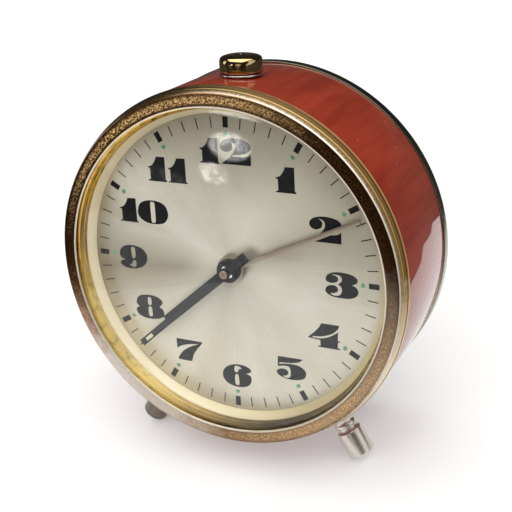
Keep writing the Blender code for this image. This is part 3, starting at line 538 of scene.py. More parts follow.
def lacquer_finish():
    f = Finish(
        "red_lacquer",
        Roughness=0.45, Specular_IOR_Level=0.15, Coat_Weight=1.0, Coat_Roughness=0.03, Coat_IOR=1.6,
    )
    drawn = f.noise(f.streaks(26.0, 0.05), 1.0, 3.0, 0.55)
    broad = f.noise(f.streaks(5.0, 0.03), 1.0, 3.0, 0.5)
    shade = f.plus(f.times(drawn, 0.45), f.times(broad, 0.55))
    colour = f.mix(f.band(shade, 0.35, 0.65), (0.225, 0.021, 0.008), (0.325, 0.038, 0.015))
    chips = f.band(f.noise(f.point, 1.15, 3.0, 0.5), 0.735, 0.75)
    colour = f.mix(chips, colour, (0.62, 0.34, 0.25))
    # Painted shade on the band just under the bezel.
    painted_seam_shade = f.band(f.w, 1.75, 1.95)
    colour = f.mix(f.times(painted_seam_shade, 0.7), colour, (0.06, 0.008, 0.005))
    f.feed(Base_Color=colour)
    f.bump(shade, 0.10, 0.12)
    return f.material


def cream_finish():
    f = Finish("cream_ring", Metallic=0.1)
    grain = f.noise(f.along(1.2, 9.0), 1.0, 4.0, 0.6)
    cloud = f.noise(f.point, 0.18, 3.0, 0.5)
    colour = f.mix(cloud, (0.99, 0.84, 0.56), (1.0, 0.91, 0.67))
    # Painted shade: darker on the lower right, less so at the top and the bottom.
    darker_by_angle = f.ramp(
        f.round,
        (0.0, 0.38), (0.08, 0.08), (0.13, 0.0), (0.38, 0.0), (0.46, 0.3), (0.80, 0.8), (0.92, 0.8),
        (1.0, 0.38),
    )
    colour = f.mix(darker_by_angle, colour, (0.33, 0.25, 0.10))
    colour = f.mix(f.times(grain, 0.14), colour, (0.62, 0.45, 0.22))
    f.feed(Base_Color=colour, Roughness=f.plus(f.times(grain, 0.2), 0.25))
    f.bump(grain, 0.08, 0.03)
    return f.material


def dial_finish():
    f = Finish("silvered_dial", Metallic=0.75, Anisotropic=0.55)
    tangent = f.add("ShaderNodeTangent", direction_type="UV_MAP", uv_map="turning").outputs[0]
    rays = f.noise(f.along(70.0, 0.03), 1.0, 3.0, 0.6)
    sectors = f.noise(f.vector("MULTIPLY", f.heading, (1.1, 1.1, 1.1)).outputs[0], 1.0, 2.0, 0.5)
    cloud = f.noise(f.point, 0.07, 3.0, 0.55)
    shade = f.plus(f.times(sectors, 0.55), f.times(cloud, 0.45))
    colour = f.ramp(
        shade, (0.30, (0.66, 0.605, 0.49)), (0.50, (0.755, 0.71, 0.60)), (0.70, (0.83, 0.80, 0.72))
    )
    colour = f.mix(f.times(rays, 0.30), colour, (0.40, 0.36, 0.27))
    # Painted shade: darker towards the top and a little to the right.
    billow = f.times(f.math("SUBTRACT", cloud, 0.5), 0.5)
    dim = f.band(f.plus(f.times(f.u, 0.017), f.times(f.x, 0.003), billow), 0.26, 0.56)
    colour = f.mix(f.times(dim, 0.40), colour, (0.28, 0.225, 0.14))
    # Painted shade in wedges round the nine and round the two.
    painted_shade_wedges = f.ramp(
        f.round, (0.17, 0.0), (0.235, 1.0), (0.28, 0.6), (0.33, 0.0), (0.60, 0.0), (0.70, 0.6), (0.79, 0.0)
    )
    painted_shade_wedges = f.times(painted_shade_wedges, f.band(f.radius, 3.0, 16.0), 0.70)
    colour = f.mix(painted_shade_wedges, colour, (0.24, 0.20, 0.13))
    # Painted shade near the rim, under the wall.
    edge = f.band(f.radius, 35.5, 38.5)
    colour = f.mix(f.times(edge, 0.35), colour, (0.40, 0.33, 0.17))
    freckles = f.band(f.noise(f.point, 1.4, 5.0, 0.6), 0.70, 0.75)
    colour = f.mix(f.times(freckles, 0.35), colour, (0.33, 0.26, 0.17))
    f.feed(Base_Color=colour, Roughness=f.plus(f.times(rays, 0.16), 0.34), Tangent=tangent)
    f.bump(rays, 0.10, 0.02)
    return f.material


def glass_finish():
    """Faintly dusty glass that lets shadow rays through, so the lamps reach the dial."""
    f = Finish("crystal_glass", Transmission_Weight=1.0, IOR=1.38, Base_Color=(0.985, 0.99, 0.985, 1.0))
    dust = f.band(f.noise(f.point, 0.5, 8.0, 0.7), 0.55, 0.80)
    f.feed(Roughness=f.times(dust, 0.05))
    surface = f.tree.nodes["Material Output"].inputs["Surface"]
    path = f.add("ShaderNodeLightPath")
    clear = f.add("ShaderNodeBsdfTransparent", {"Color": (0.97, 0.98, 0.97, 1.0)})
    blend = f.add(
        "ShaderNodeMixShader",
        {0: path.outputs["Is Shadow Ray"], 1: f.shader.outputs["BSDF"], 2: clear.outputs["BSDF"]},
    )
    f.tree.links.new(blend.outputs["Shader"], surface)
    return f.material


def paint_finish(name, dark, bright, rough, scale=1.2, gloss=0.5):
    """Printing ink, luminous paint or enamel: slightly uneven and grainy."""
    f = Finish(name, Specular_IOR_Level=gloss)
    cloud = f.noise(f.point, scale, 5.0, 0.65)
    grain = f.noise(f.point, scale * 9, 3.0, 0.6)
    shade = f.plus(f.times(cloud, 0.7), f.times(grain, 0.3))
    colour = f.mix(f.band(shade, 0.3, 0.7), dark, bright)
    f.feed(Base_Color=colour, Roughness=f.plus(f.times(grain, 0.2), rough))
    f.bump(grain, 0.15, 0.02)
    return f.material


BEZEL = bezel_finish()
REAR = rear_bezel_finish()
LACQUER = lacquer_finish()
CREAM = cream_finish()
DIAL = dial_finish()
GLASS = glass_finish()
GOLD = wall_finish()
BUTTON = metal_finish(
    "button_gold", (0.44, 0.31, 0.13), (0.62, 0.47, 0.24),
    rough=0.05, around=2.0, across=6.0, wear=(0.16, 0.08, 0.03), worn=0.4, grain=0.08,
)
NICKEL = metal_finish(
    "old_nickel", (0.52, 0.47, 0.43), (0.74, 0.69, 0.65),
    rough=0.10, around=4.0, across=5.0, wear=(0.25, 0.17, 0.11), worn=0.45, grain=0.14,
)
FOOT_BRIGHT = metal_finish(
    "foot_nickel", (0.60, 0.55, 0.50), (0.82, 0.77, 0.72),
    rough=0.20, around=5.0, across=5.0, wear=(0.22, 0.15, 0.09), worn=0.5, grain=0.2,
)
# A darker copy of the foot nickel for the left foot: painted shade.
FOOT_PAINTED_SHADE = metal_finish(
    "foot_nickel_painted_shade", (0.12, 0.10, 0.085), (0.28, 0.24, 0.20),
    rough=0.22, around=5.0, across=5.0, wear=(0.05, 0.035, 0.02), worn=0.6, grain=0.2,
)
COVER = metal_finish(
    "cover_nickel", (0.50, 0.47, 0.42), (0.70, 0.67, 0.62),
    rough=0.20, around=2.0, across=7.0, wear=(0.28, 0.20, 0.12), worn=0.4, grain=0.2,
)
SILVER = metal_finish(
    "bush_silver", (0.66, 0.62, 0.58), (0.84, 0.81, 0.77),
    rough=0.12, around=3.0, across=6.0, wear=(0.3, 0.22, 0.15), worn=0.3,
)
COPPER = metal_finish(
    "copper_hand", (0.36, 0.285, 0.22), (0.54, 0.45, 0.37),
    rough=0.26, around=2.0, across=3.0, wear=(0.30, 0.20, 0.15), worn=0.4,
)
PIN = metal_finish(
    "copper_pin", (0.34, 0.17, 0.12), (0.52, 0.30, 0.22),
    rough=0.24, around=2.0, across=3.0, wear=(0.2, 0.09, 0.06), worn=0.4,
)
# Bright steel for the painted highlights on the minute hand's hub.
HIGHLIGHT_STEEL = metal_finish(
    "painted_highlight_steel", (0.80, 0.79, 0.76), (0.95, 0.94, 0.92),
    rough=0.12, around=2.0, across=3.0, wear=(0.5, 0.45, 0.4), worn=0.2,
)
BRASS = metal_finish(
    "movement_brass", (0.56, 0.39, 0.14), (0.76, 0.57, 0.26),
    rough=0.22, around=1.0, across=2.5, wear=(0.28, 0.18, 0.07), worn=0.35, grain=0.2,
)
STEEL = metal_finish(
    "movement_steel", (0.36, 0.36, 0.37), (0.56, 0.56, 0.57),
    rough=0.22, around=2.0, across=3.0, wear=(0.18, 0.14, 0.11), worn=0.3,
)
BLUED = metal_finish(
    "blued_steel", (0.05, 0.07, 0.14), (0.12, 0.16, 0.27),
    rough=0.22, around=2.0, across=3.0, wear=(0.10, 0.08, 0.10), worn=0.3,
)
BLACK = paint_finish("black_hands", (0.006, 0.007, 0.008), (0.016, 0.018, 0.021), 0.36, gloss=0.25)
INK = paint_finish("black_ink", (0.006, 0.006, 0.007), (0.014, 0.014, 0.016), 0.40, gloss=0.10)
LUME = paint_finish("hand_lume", (0.62, 0.58, 0.38), (0.80, 0.76, 0.54), 0.6, 2.5)
GREEN = paint_finish("green_dots", (0.045, 0.20, 0.075), (0.20, 0.46, 0.26), 0.55, 0.35)

# ---------------- case

LIP = 40.5  # the bezel's opening
RIM = 45.0  # outside of both bezels
BAND = 44.8  # outside of the red band
SEAT = 41.5  # where the wall, ring and dial are held
FINE = 256  # steps round the large turned pieces

bezel = rounded([
    (LIP, 6.4, 0.04),
    (40.7, 6.5, 0.1),
    (42.0, 6.5, 0.3),
    (43.5, 6.38, 0.3),
    (43.95, 6.12, 0.12),
    (44.25, 5.3, 0.3),
    (44.4, 4.75, 0.05),
    (44.5, 4.62, 0.05),
    (44.66, 4.0, 0.1),
    (44.78, 3.5, 0.05),
    (44.9, 3.36, 0.05),
    (RIM, 2.75, 0.1),
    (RIM, 2.3, 0.12),
    (44.2, 2.3, 0.05),
    (43.4, 5.4),
    (43.0, 5.9),
    (LIP, 6.05, 0.05),
])
dress(lathe("bezel_ring", bezel, FINE), BEZEL, "case", "worn_brass", "front_bezel")

wall = rounded([
    (40.15, 4.62, 0.1),
    (SEAT, 4.95, 0.05),
    (SEAT, 2.5, 0.05),
    (39.45, 2.5, 0.06),
    (39.7, 3.25, 0.05),
    (39.84, 3.34, 0.05),
    (39.84, 3.5, 0.05),
    (39.76, 3.62, 0.05),
    (39.98, 4.1, 0.3),
])
dress(lathe("wall_ring", wall, FINE), GOLD, "case", "gold", "reflector_ring")

slope = rounded([
    (38.0, 0.1, 0.02),
    (38.05, 0.35, 0.1),
    (38.7, 1.55, 1.0),
    (39.4, 2.3, 0.15),
    (SEAT, 2.3, 0.02),
    (SEAT, 0.1, 0.02),
], steps=5)
dress(lathe("cream_slope", slope, FINE), CREAM, "case", "cream_ring", "dial_ring")

face = rounded([(2.9, -0.6, 0.05), (2.9, 0.0, 0.05), (20.0, 0.0), (SEAT, 0.0, 0.02), (SEAT, -0.6, 0.02)])
dress(lathe("dial_plate", face), DIAL, "case", "dial", "dial")

RISE = 3.0  # height of the dome over its foot
GLASS_FOOT = 40.2
GLASS_TOP = 5.75
GLASS_UNDER = 5.05
SPHERE = (GLASS_FOOT**2 + RISE**2) / (2 * RISE)


def dome(base, radius):
    return base + RISE - SPHERE + sqrt(SPHERE**2 - radius**2)


radii = [GLASS_FOOT * i / 24 for i in range(25)]
glass = [(radius, dome(GLASS_TOP, radius)) for radius in radii]
flange = [
    (GLASS_FOOT + 0.4, GLASS_TOP, 0.3),
    (41.3, GLASS_TOP, 0.1),
    (41.3, GLASS_UNDER, 0.1),
    (GLASS_FOOT + 0.4, GLASS_UNDER, 0.3),
]
glass += rounded(flange, closed=False)
glass += [(radius, dome(GLASS_UNDER, radius)) for radius in reversed(radii)]
dress(lathe("domed_glass", glass), GLASS, "case", "glass", "crystal")

band = rounded([
    (BAND, 2.0, 0.1),
    (BAND, -12.0),
    (BAND, -26.3, 0.1),
    (44.2, -26.3, 0.05),
    (44.2, 2.0, 0.05),
])
BUTTON_DEPTH = -9.5
FOOT_DEPTH = -8.3
FOOT_ANGLE = radians(148.6)
BAND_CUT = (40.0, 48.0)  # radii, either side of the band
drills = []
for hole, angle, depth in (
    (2.5, 0.0, BUTTON_DEPTH),
    (1.5, FOOT_ANGLE, FOOT_DEPTH),
    (1.5, -FOOT_ANGLE, FOOT_DEPTH),
):
    drills.append(plate("drill", [circle(hole, 32)], *BAND_CUT, place=radial(angle, depth)))
dress(drilled(lathe("red_band", band, FINE), drills), LACQUER, "case", "red_paint", "case_band")

rear = rounded([
    (RIM, -26.6, 0.15),
    (RIM, -29.6, 0.3),
    (44.6, -30.0, 0.25),
    (40.5, -30.0, 0.1),
    (40.5, -29.5, 0.05),
    (43.9, -29.4),
    (44.2, -26.6, 0.05),
])
dress(lathe("rear_ring", rear, FINE), REAR, "case", "worn_brass", "rear_bezel")

# Where the winding arbors, setting arbors and balance stand
MIDDLE = (0.0, 0.0)
TIME_BARREL = (-17.0, -9.0)
ALARM_BARREL = (17.0, -9.0)
SETTER = (11.691, 6.75)
BALANCE = (-20.0, 9.5)
cover = rounded([
    (0.0, -30.2),
    (35.6, -30.2, 0.1),
    (35.8, -30.05, 0.1),
    (37.2, -30.05, 0.1),
    (37.4, -30.2, 0.1),
    (40.1, -30.2, 0.35),
    (40.1, -24.5, 0.1),
    (39.3, -24.5, 0.1),
    (39.3, -29.5, 0.2),
    (0.0, -29.5),
])
slot_low, slot_high = radians(77), radians(137)  # the regulator's slot
slot_edge = arc(10.7, slot_low, slot_high, 24, BALANCE) + arc(8.3, slot_high, slot_low, 24, BALANCE)
KEY_HOLE = 2.4
KNOB_HOLE = 1.6
COVER_CUT = (-32.0, -28.0)  # depths, either side of the cover
openings = [circle(KEY_HOLE, 32, spot) for spot in (TIME_BARREL, ALARM_BARREL)]
openings += [circle(KNOB_HOLE, 32, spot) for spot in (MIDDLE, SETTER)]
openings.append(slot_edge)
cutters = [plate("opening", [outline], *COVER_CUT) for outline in openings]
dress(drilled(lathe("rear_cover", cover), cutters), COVER, "case", "nickel", "back_cover")

# ---------------- feet and button

foot = rounded([
    (0.0, 57.9),
    (2.7, 57.9, 0.2),
    (3.3, 57.4, 0.3),
    (3.3, 50.75, 0.15),
    (2.85, 50.4, 0.1),
    (2.5, 50.2, 0.1),
    (2.5, 49.6, 0.1),
    (2.85, 49.4, 0.1),
    (2.85, 48.6, 0.2),
    (2.6, 48.3, 0.2),
    (2.6, 47.8, 0.2),
    (2.85, 47.5, 0.2),
    (2.85, 45.1, 0.05),
    (1.2, 45.1, 0.05),
    (1.2, 40.6, 0.1),
    (0.0, 40.6),
])
# The left foot takes the darker copy of the nickel, as painted shade.
for side, angle, finish in (("right", FOOT_ANGLE, FOOT_BRIGHT), ("left", -FOOT_ANGLE, FOOT_PAINTED_SHADE)):
    leg = lathe(f"turned_foot_{side}", foot, 64, radial(angle, FOOT_DEPTH))
    dress(leg, finish, "case", "nickel", f"foot_{side}")

knob_top = rounded([
    (0.0, 49.94),
    (0.4, 49.9, 0.1),
    (0.8, 49.7, 0.2),
    (3.1, 49.66, 0.5),
    (4.75, 49.25, 0.9),
    (5.1, 48.4, 0.5),
    (5.07, 46.1, 0.15),
    (4.95, 45.8, 0.05),
    (1.2, 45.8, 0.05),
    (1.2, 38.2, 0.1),
    (0.0, 38.2),
], steps=5)
button_place = radial(0.0, BUTTON_DEPTH)
dress(lathe("gold_button", knob_top, 96, button_place), BUTTON, "alarm_button", "gold", "alarm_button")
bush = rounded([
    (1.6, 45.5, 0.05),
    (5.1, 45.5, 0.15),
    (5.1, 45.1, 0.05),
    (2.2, 45.1, 0.05),
    (2.2, 40.5, 0.05),
    (1.6, 40.5, 0.05),
])
dress(lathe("silver_bush", bush, 96, button_place), SILVER, "case", "nickel", "button_bush")

# ---------------- keys and knobs

BLADE = (-38.6, -33.2)  # depths behind the dial
KEY_NECK = (-33.2, -30.7)
KNOB = (-37.5, -33.0)
KNOB_NECK = (-33.0, -30.7)
GROOVE = 0.28


def key_outline():
    """A round boss with a wing on each side."""
    boss, wing, half = 2.6, 9.5, 1.0
    rise = atan2(sqrt(boss**2 - half**2), half)
    outline = arc(half, 0.15, pi - 0.15, 8, (0.0, wing - half))
    outline += arc(boss, pi - rise, pi + rise, 16)
    outline += arc(half, pi + 0.15, tau - 0.15, 8, (0.0, half - wing))
    outline += arc(boss, -rise, rise, 16)
    return outline


for side, spot, turn in (("time", TIME_BARREL, 62), ("alarm", ALARM_BARREL, 118)):
    wing = moved(key_outline(), *spot, radians(turn))
    bore = circle(1.5, 32, spot)
    blade = plate("blade", [wing, bore], *BLADE, bevel=0.3)
    boss = plate("boss", [circle(2.2, 40, spot), bore], *KEY_NECK, bevel=0.15)
    dress(joined(f"wing_key_{side}", [blade, boss]), NICKEL, f"{side}_winder", "nickel", f"{side}_key")


def knurled(radius, count):
    """A ribbed rim: each rib takes the first half of its share, and each groove the second."""
    outline = []
    for i in range(count):
        for part, reach in ((0.1, 0.0), (0.4, 0.0), (0.6, -GROOVE), (0.9, -GROOVE)):
            angle = tau * (i + part) / count
            outline.append(((radius + reach) * cos(angle), (radius + reach) * sin(angle)))
    return outline


for name, spot, radius, bore, body, node in (
    ("ribbed_time_knob", MIDDLE, 5.2, 0.9, "minute", "time_set_knob"),
    ("ribbed_alarm_knob", SETTER, 4.2, 1.1, "alarm_setter", "alarm_set_knob"),
):
    opening = circle(bore, 32, spot)
    rim = plate("rim", [moved(knurled(radius, 36), *spot), opening], *KNOB, bevel=0.12)
    neck = plate("neck", [circle(0.55 * radius, 40, spot), opening], *KNOB_NECK, bevel=0.1)
    dress(joined(name, [rim, neck]), NICKEL, body, "nickel", node)

# ---------------- hands

# Clockwise from the twelve
MINUTE_ANGLE = radians(228.0)
HOUR_ANGLE = radians(229.0)
ALARM_ANGLE = radians(64.5)


def hand_outline(reach, tail, half, hub):
    """A straight bar, half its width each side of the middle, with a round hub and a short tail."""
    shoulder = sqrt(hub**2 - half**2)
    rise = atan2(shoulder, half)
    outline = [(half, shoulder), (half, reach), (-half, reach), (-half, shoulder)]
    outline += arc(hub, pi - rise, pi + rise, 16)[1:-1]
    outline += [(-half, -shoulder), (-half, -tail), (half, -tail), (half, -shoulder)]
    outline += arc(hub, -rise, rise, 16)[1:-1]
    return outline


def hand(name, finish, body, slot, node, low, high, sizes, bore, clock_angle, holes=(), bevel=0.08):
    outlines = [hand_outline(*sizes), circle(bore, 32), *holes]
    outlines = [rotated(outline, -clock_angle) for outline in outlines]
    return dress(plate(name, outlines, low, high, bevel), finish, body, slot, node)


window = upright(0.45, 28.7, 31.3)
hand(
    "black_minute_hand", BLACK, "minute", "black_hand", "minute_hand",
    low=3.6, high=3.9, sizes=(33.0, 5.7, 0.88, 2.2), bore=0.85, clock_angle=MINUTE_ANGLE, holes=[window],
)
hand(
    "black_hour_hand", BLACK, "hour", "black_hand", "hour_hand",
    low=2.2, high=2.5, sizes=(23.6, 6.6, 1.3, 2.9), bore=1.5, clock_angle=HOUR_ANGLE,
)
hand(
    "copper_alarm_hand", COPPER, "alarm_pointer", "copper_hand", "alarm_hand",
    low=1.0, high=1.3, sizes=(36.4, 3.6, 0.6, 3.4), bore=2.15, clock_angle=ALARM_ANGLE, bevel=0.12,
)
lume = rotated(upright(0.43, 28.72, 31.28), -MINUTE_ANGLE)
dress(plate("minute_lume", [lume], 3.66, 3.84, 0.04), LUME, "minute", "black_hand")
# Two bright steel lozenges on the minute hand's hub are painted highlights.
hub_highlight_plates = []
for side in (-1, 1):
    highlight_lozenge = [(side * 1.3 + 0.42 * a, -0.75 + 0.75 * b) for a, b in ((1, 0), (0, 1), (-1, 0), (0, -1))]
    hub_highlight_plates.append(plate("lozenge_plate", [rotated(highlight_lozenge, -MINUTE_ANGLE)], 3.85, 3.97, 0.03))
dress(joined("painted_hub_highlights", hub_highlight_plates), HIGHLIGHT_STEEL, "minute", "black_hand")
pin = rounded([(0.0, 5.2), (0.35, 5.2, 0.1), (0.6, 5.1, 0.1), (0.6, 4.7, 0.03), (0.0, 4.7)])
dress(lathe("copper_cap", pin, 48), PIN, "minute", "copper_hand", "hand_cap")
ring = rounded([(0.62, 4.75, 0.03), (0.62, 5.1, 0.05), (0.82, 5.12, 0.1), (1, 4.95, 0.08), (1, 4.75, 0.05)])
dress(lathe("cap_ring", ring, 48), COPPER, "minute", "copper_hand")
hub = rounded([(0.9, 3.88, 0.03), (1.45, 3.88, 0.03), (1.3, 4.35, 0.15), (0.9, 4.4, 0.05)])
dress(lathe("minute_boss", hub, 48), BLACK, "minute", "black_hand")
hub = rounded([(1.5, 2.48, 0.03), (2.1, 2.48, 0.03), (2.0, 2.9, 0.15), (1.5, 2.95, 0.05)])
dress(lathe("hour_boss", hub, 48), BLACK, "hour", "black_hand")

# ---------------- printing on the dial

PRINT = (-0.02, 0.03)  # from just inside the dial plate to just over it
PAINT = (-0.02, 0.09)  # the green dots stand a little higher
HOUR_MARK = (0.68, 34.6, 37.15)  # half-width, inner and outer radius
MINUTE_MARK = (0.13, 34.45, 37.1)
DOT_RADIUS = 33.2

# Outlines of the digits about their own middle; a third number marks a corner
ONE = [[
    (-0.17, 3.04, 1), (2.13, 3.1, 1), (2.16, 0.41), (2.19, -2.55, 1), (2.61, -2.89, 1), (2.5, -3.1, 1),
    (-2.61, -3.1, 1), (-2.5, -2.85, 1), (-1.93, -2.6, 1), (-1.99, 0.1, 1), (-2.56, 0.2, 1),
    (-2.51, 0.45, 1), (-1.51, 0.83), (-0.76, 1.72), (-0.39, 2.43),
]]
TWO = [[
    (-3.79, -3.1, 1), (-2.11, -1.78), (-0.76, -0.49), (-0.11, 0.65), (-0.18, 1.72), (-0.83, 2.36),
    (-1.78, 2.52, 1), (-1.09, 2.18), (-0.67, 1.39), (-1.04, 0.38), (-2.24, -0.15), (-3.4, 0.2),
    (-3.92, 1.15), (-3.5, 2.16), (-2.29, 2.84), (-0.37, 3.12), (1.73, 2.94), (3.38, 2.32), (3.92, 1.35),
    (3.51, 0.44), (2.53, -0.23), (1.14, -0.63), (-0.78, -0.79, 1), (-0.79, -1.18, 1), (1.12, -1.17),
    (2.71, -0.98), (3.46, -0.61), (3.86, -0.18, 1), (3.88, -3.1, 1),
]]
THREE = [[
    (-0.9, 0.17, 1), (-0.08, 0.97), (-0.02, 1.83), (-0.81, 2.48), (-2.62, 2.47, 1), (-1.38, 2.17),
    (-0.86, 1.6), (-1.03, 0.93), (-1.85, 0.45), (-2.99, 0.39), (-3.79, 0.79), (-3.92, 1.54),
    (-3.19, 2.53), (-1.59, 3.11), (0.67, 3.18), (2.68, 2.8), (3.84, 1.89), (3.61, 0.94),
    (2.49, 0.38, 1), (3.52, -0.1), (4.05, -1.13), (3.6, -2.27), (2.09, -3.02), (-0.3, -3.18),
    (-2.58, -2.92), (-3.83, -2.16), (-4.05, -1.49), (-3.58, -0.61), (-2.43, -0.18), (-1.41, -0.36),
    (-0.91, -1.1), (-1.31, -1.88), (-2.92, -2.33, 1), (-1.89, -2.75), (-0.63, -2.53), (0.01, -1.62),
    (-0.09, -0.48),
]]
FOUR = [[
    (-4.12, -0.98, 1), (-2.67, 0.37), (-1.4, 1.77), (-0.87, 2.57), (-0.67, 3.13, 1), (3.86, 3.11, 1),
    (3.59, 2.24), (2.38, 0.97), (0.5, 0.05), (-1.15, -0.38), (-2.81, -0.48, 1), (-2.86, -0.85, 1),
    (-0.93, -0.87), (0.96, -0.31), (2.49, 0.56), (3.59, 1.4, 1), (3.51, -0.91, 1), (4.05, -0.92, 1),
    (4.04, -1.23, 1), (3.51, -1.27, 1), (3.5, -2.74, 1), (4.12, -2.81, 1), (4.07, -3.13, 1),
    (-1.44, -3.1, 1), (-1.38, -2.78, 1), (-0.85, -2.72, 1), (-0.89, -1.28, 1),
]]
FIVE = [[
    (-3.49, 2.88, 1), (0.14, 2.96), (3.09, 2.94, 1), (2.05, 2.12), (0.1, 1.58), (-3.05, 1.29, 1),
    (-3.16, 0.78, 1), (-1.87, 1.09), (0.09, 1.26), (2.03, 1.05), (3.53, 0.19), (3.87, -0.88),
    (3.41, -2.04), (1.94, -2.73), (-0.03, -2.96), (-1.99, -2.76), (-3.45, -2.06), (-3.87, -1.32),
    (-3.45, -0.69), (-2.41, -0.31), (-1.31, -0.47), (-0.81, -1.13), (-1.18, -1.9), (-2.42, -2.33, 1),
    (-1.25, -2.68), (-0.38, -2.27), (-0.15, -1.09), (-0.43, 0.24), (-1.4, 0.57), (-3.56, 0.2, 1),
]]
SEVEN = [[
    (-3.66, 2.94, 1), (0.07, 2.9), (3.66, 2.85, 1), (3.5, 2.34), (1.98, 0.49), (1.02, -1.12),
    (0.51, -2.89, 1), (-1.48, -2.94), (-3.44, -2.79, 1), (-3.2, -2.16), (-1.8, -0.3), (0.28, 1.11),
    (2.71, 2.21, 1), (-0.01, 1.77), (-2.54, 0.93), (-3.53, 0.16, 1),
]]
EIGHT = [[
    (-3.01, -0.22, 1), (-3.79, 0.49), (-3.73, 1.59), (-2.92, 2.65), (-1.36, 3.16), (1.16, 3.23),
    (3.11, 2.56), (3.72, 1.48), (2.76, 0.33, 1), (3.77, -0.41), (4.01, -1.64), (3.2, -2.62),
    (1.14, -3.19), (-1.23, -3.23), (-3.22, -2.63), (-4.01, -1.56), (-3.87, -0.8),
], [
    (-0.48, 2.4), (0.0, 2.72), (0.48, 2.4), (0.55, 1.6), (0.48, 0.8), (0.0, 0.42), (-0.48, 0.75),
    (-0.55, 1.6),
], [
    (-0.45, -0.2), (0.03, 0.12), (0.51, -0.2), (0.62, -1.25), (0.6, -2.3), (0.1, -2.68), (-0.4, -2.4),
    (-0.52, -1.3),
]]
NINE = [[
    (-2.6, -0.95, 1), (-3.75, -0.3), (-3.92, 0.9), (-3.25, 2.17), (-1.74, 2.95), (0.52, 3.11),
    (2.72, 2.45), (3.92, 0.9), (3.69, -0.99), (2.24, -2.4), (0.1, -3.1), (-2.13, -3.05), (-3.55, -2.45),
    (-3.92, -1.7), (-3.3, -1.22), (-2.6, -1.05, 1),
], [
    (-0.5, 2.35), (0.0, 2.67), (0.5, 2.4), (0.64, 1.3), (0.6, 0.2), (0.2, -0.36), (-0.3, -0.3),
    (-0.5, 0.9),
], [
    (-1.35, -2.12, 1), (-0.6, -1.85), (-0.3, -1.2), (0.1, -0.85), (0.6, -1.05), (0.73, -1.85),
    (0.45, -2.55), (-0.1, -2.7), (-0.85, -2.5),
]]
SIX = [[(-x, -y, *corner) for x, y, *corner in loop] for loop in NINE]
ZERO = [[
    (-4.2, 0.2), (-3.5, 1.95), (-1.5, 2.92), (1.4, 2.95), (3.4, 2.1), (4.22, 0.3), (4.0, -1.2),
    (2.9, -2.5), (0.9, -2.98), (-1.6, -2.85), (-3.4, -2.0), (-4.15, -0.9),
], [
    (-0.6, 2.3), (0.0, 2.72), (0.6, 2.3), (0.66, 0.0), (0.62, -2.3), (0.05, -2.72), (-0.5, -2.35),
    (-0.6, 0.0),
]]

# Digits and their middles on the dial
NUMERALS = (
    (ONE, -4.44, 28.82), (TWO, 2.28, 28.98), (ONE, 14.73, 23.35), (TWO, 24.16, 12.43),
    (THREE, 28.02, -0.73), (FOUR, 23.4, -14.14), (FIVE, 14.78, -24.38), (SIX, 0.0, -28.82),
    (SEVEN, -13.09, -24.09), (EIGHT, -23.81, -13.59), (NINE, -27.5, -0.5), (ONE, -27.74, 11.94),
    (ZERO, -20.92, 11.94), (ONE, -18.81, 23.13), (ONE, -13.29, 23.15),
)

printed = []
for loops, x, u in NUMERALS:
    printed.append(plate("numeral", [moved(curved(loop), x, u) for loop in loops], *PRINT))
for minute in range(60):
    half, low, high = HOUR_MARK if minute % 5 == 0 else MINUTE_MARK
    printed.append(plate("mark", [rotated(upright(half, low, high), -tau * minute / 60)], *PRINT))
dress(joined("dial_print", printed), INK, "case", "black_hand")
dots = []
for hour in range(12):
    angle = tau * hour / 12
    drop = []
    for turn in (tau * i / 20 for i in range(20)):
        wide = 0.55 + 0.06 * sin(3 * turn + hour)
        high = 0.52 + 0.06 * cos(2 * turn + hour)
        drop.append((wide * cos(turn), high * sin(turn)))
    outline = moved(drop, DOT_RADIUS * sin(angle), DOT_RADIUS * cos(angle))
    dots.append(plate("dot", [outline], *PAINT, bevel=0.04))
dress(joined("green_dots", dots), GREEN, "case", "dial")

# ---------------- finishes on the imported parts

STEEL_NODES = {
    "foot_nut_left", "foot_nut_right", "centre_arbor", "minute_wheel_stud", "alarm_set_arbor",
    "time_winding_arbor", "alarm_winding_arbor", "time_click", "alarm_click", "pallet_fork",
    "regulator_lever", "hammer", "stop_lever", "pillar_nut_1", "pillar_nut_2", "pillar_nut_3",
    "pillar_nut_4",
}
BLUED_NODES = {"time_mainspring", "alarm_mainspring", "hairspring", "alarm_release_spring"}
for name, node in frame["nodes"].items():
    finish = STEEL if name in STEEL_NODES else BLUED if name in BLUED_NODES else BRASS
    node.data.materials.clear()
    node.data.materials.append(finish)

# ---------------- floor, light and camera

FLOOR_GLOW = 0.3  # a softly lit table top, so the clock's shadow stays pale
FLOOR_HALF = 1.2


def mottled(name, scale, dark, bright, **values):
    """A matt, faintly mottled finish for the set."""
    material, tree, shader = new_material(name, **values)
    cloud = add_node(tree, "ShaderNodeTexNoise", {"Scale": scale}).outputs["Fac"]
    tone = add_node(tree, "ShaderNodeValToRGB", {"Fac": cloud})
    tone.color_ramp.elements[0].color = (*dark, 1.0)
    tone.color_ramp.elements[1].color = (*bright, 1.0)
    tree.links.new(tone.outputs["Color"], shader.inputs["Base Color"])
    return material


def square(half):
    """A square's corners, given half its side."""
    return [(-half, -half), (half, -half), (half, half), (-half, half)]


def level_part(name, corners, height, faces, finish):
    """A flat part of the set, in the row frame."""
    mesh = bpy.data.meshes.new(name)
    mesh.from_pydata([(x, y, height) for x, y in corners], [], faces)
    mesh.materials.append(finish)
    return placed(name, mesh)


pale = mottled(
    "pale_floor", 90.0, (0.60, 0.60, 0.60), (0.64, 0.64, 0.64),
    Roughness=0.8, Specular_IOR_Level=0.1,
    Emission_Color=(1.0, 1.0, 1.0, 1.0), Emission_Strength=FLOOR_GLOW,
)
floor = level_part("pale_floor", square(FLOOR_HALF), 0.0, [(0, 1, 2, 3)], pale)

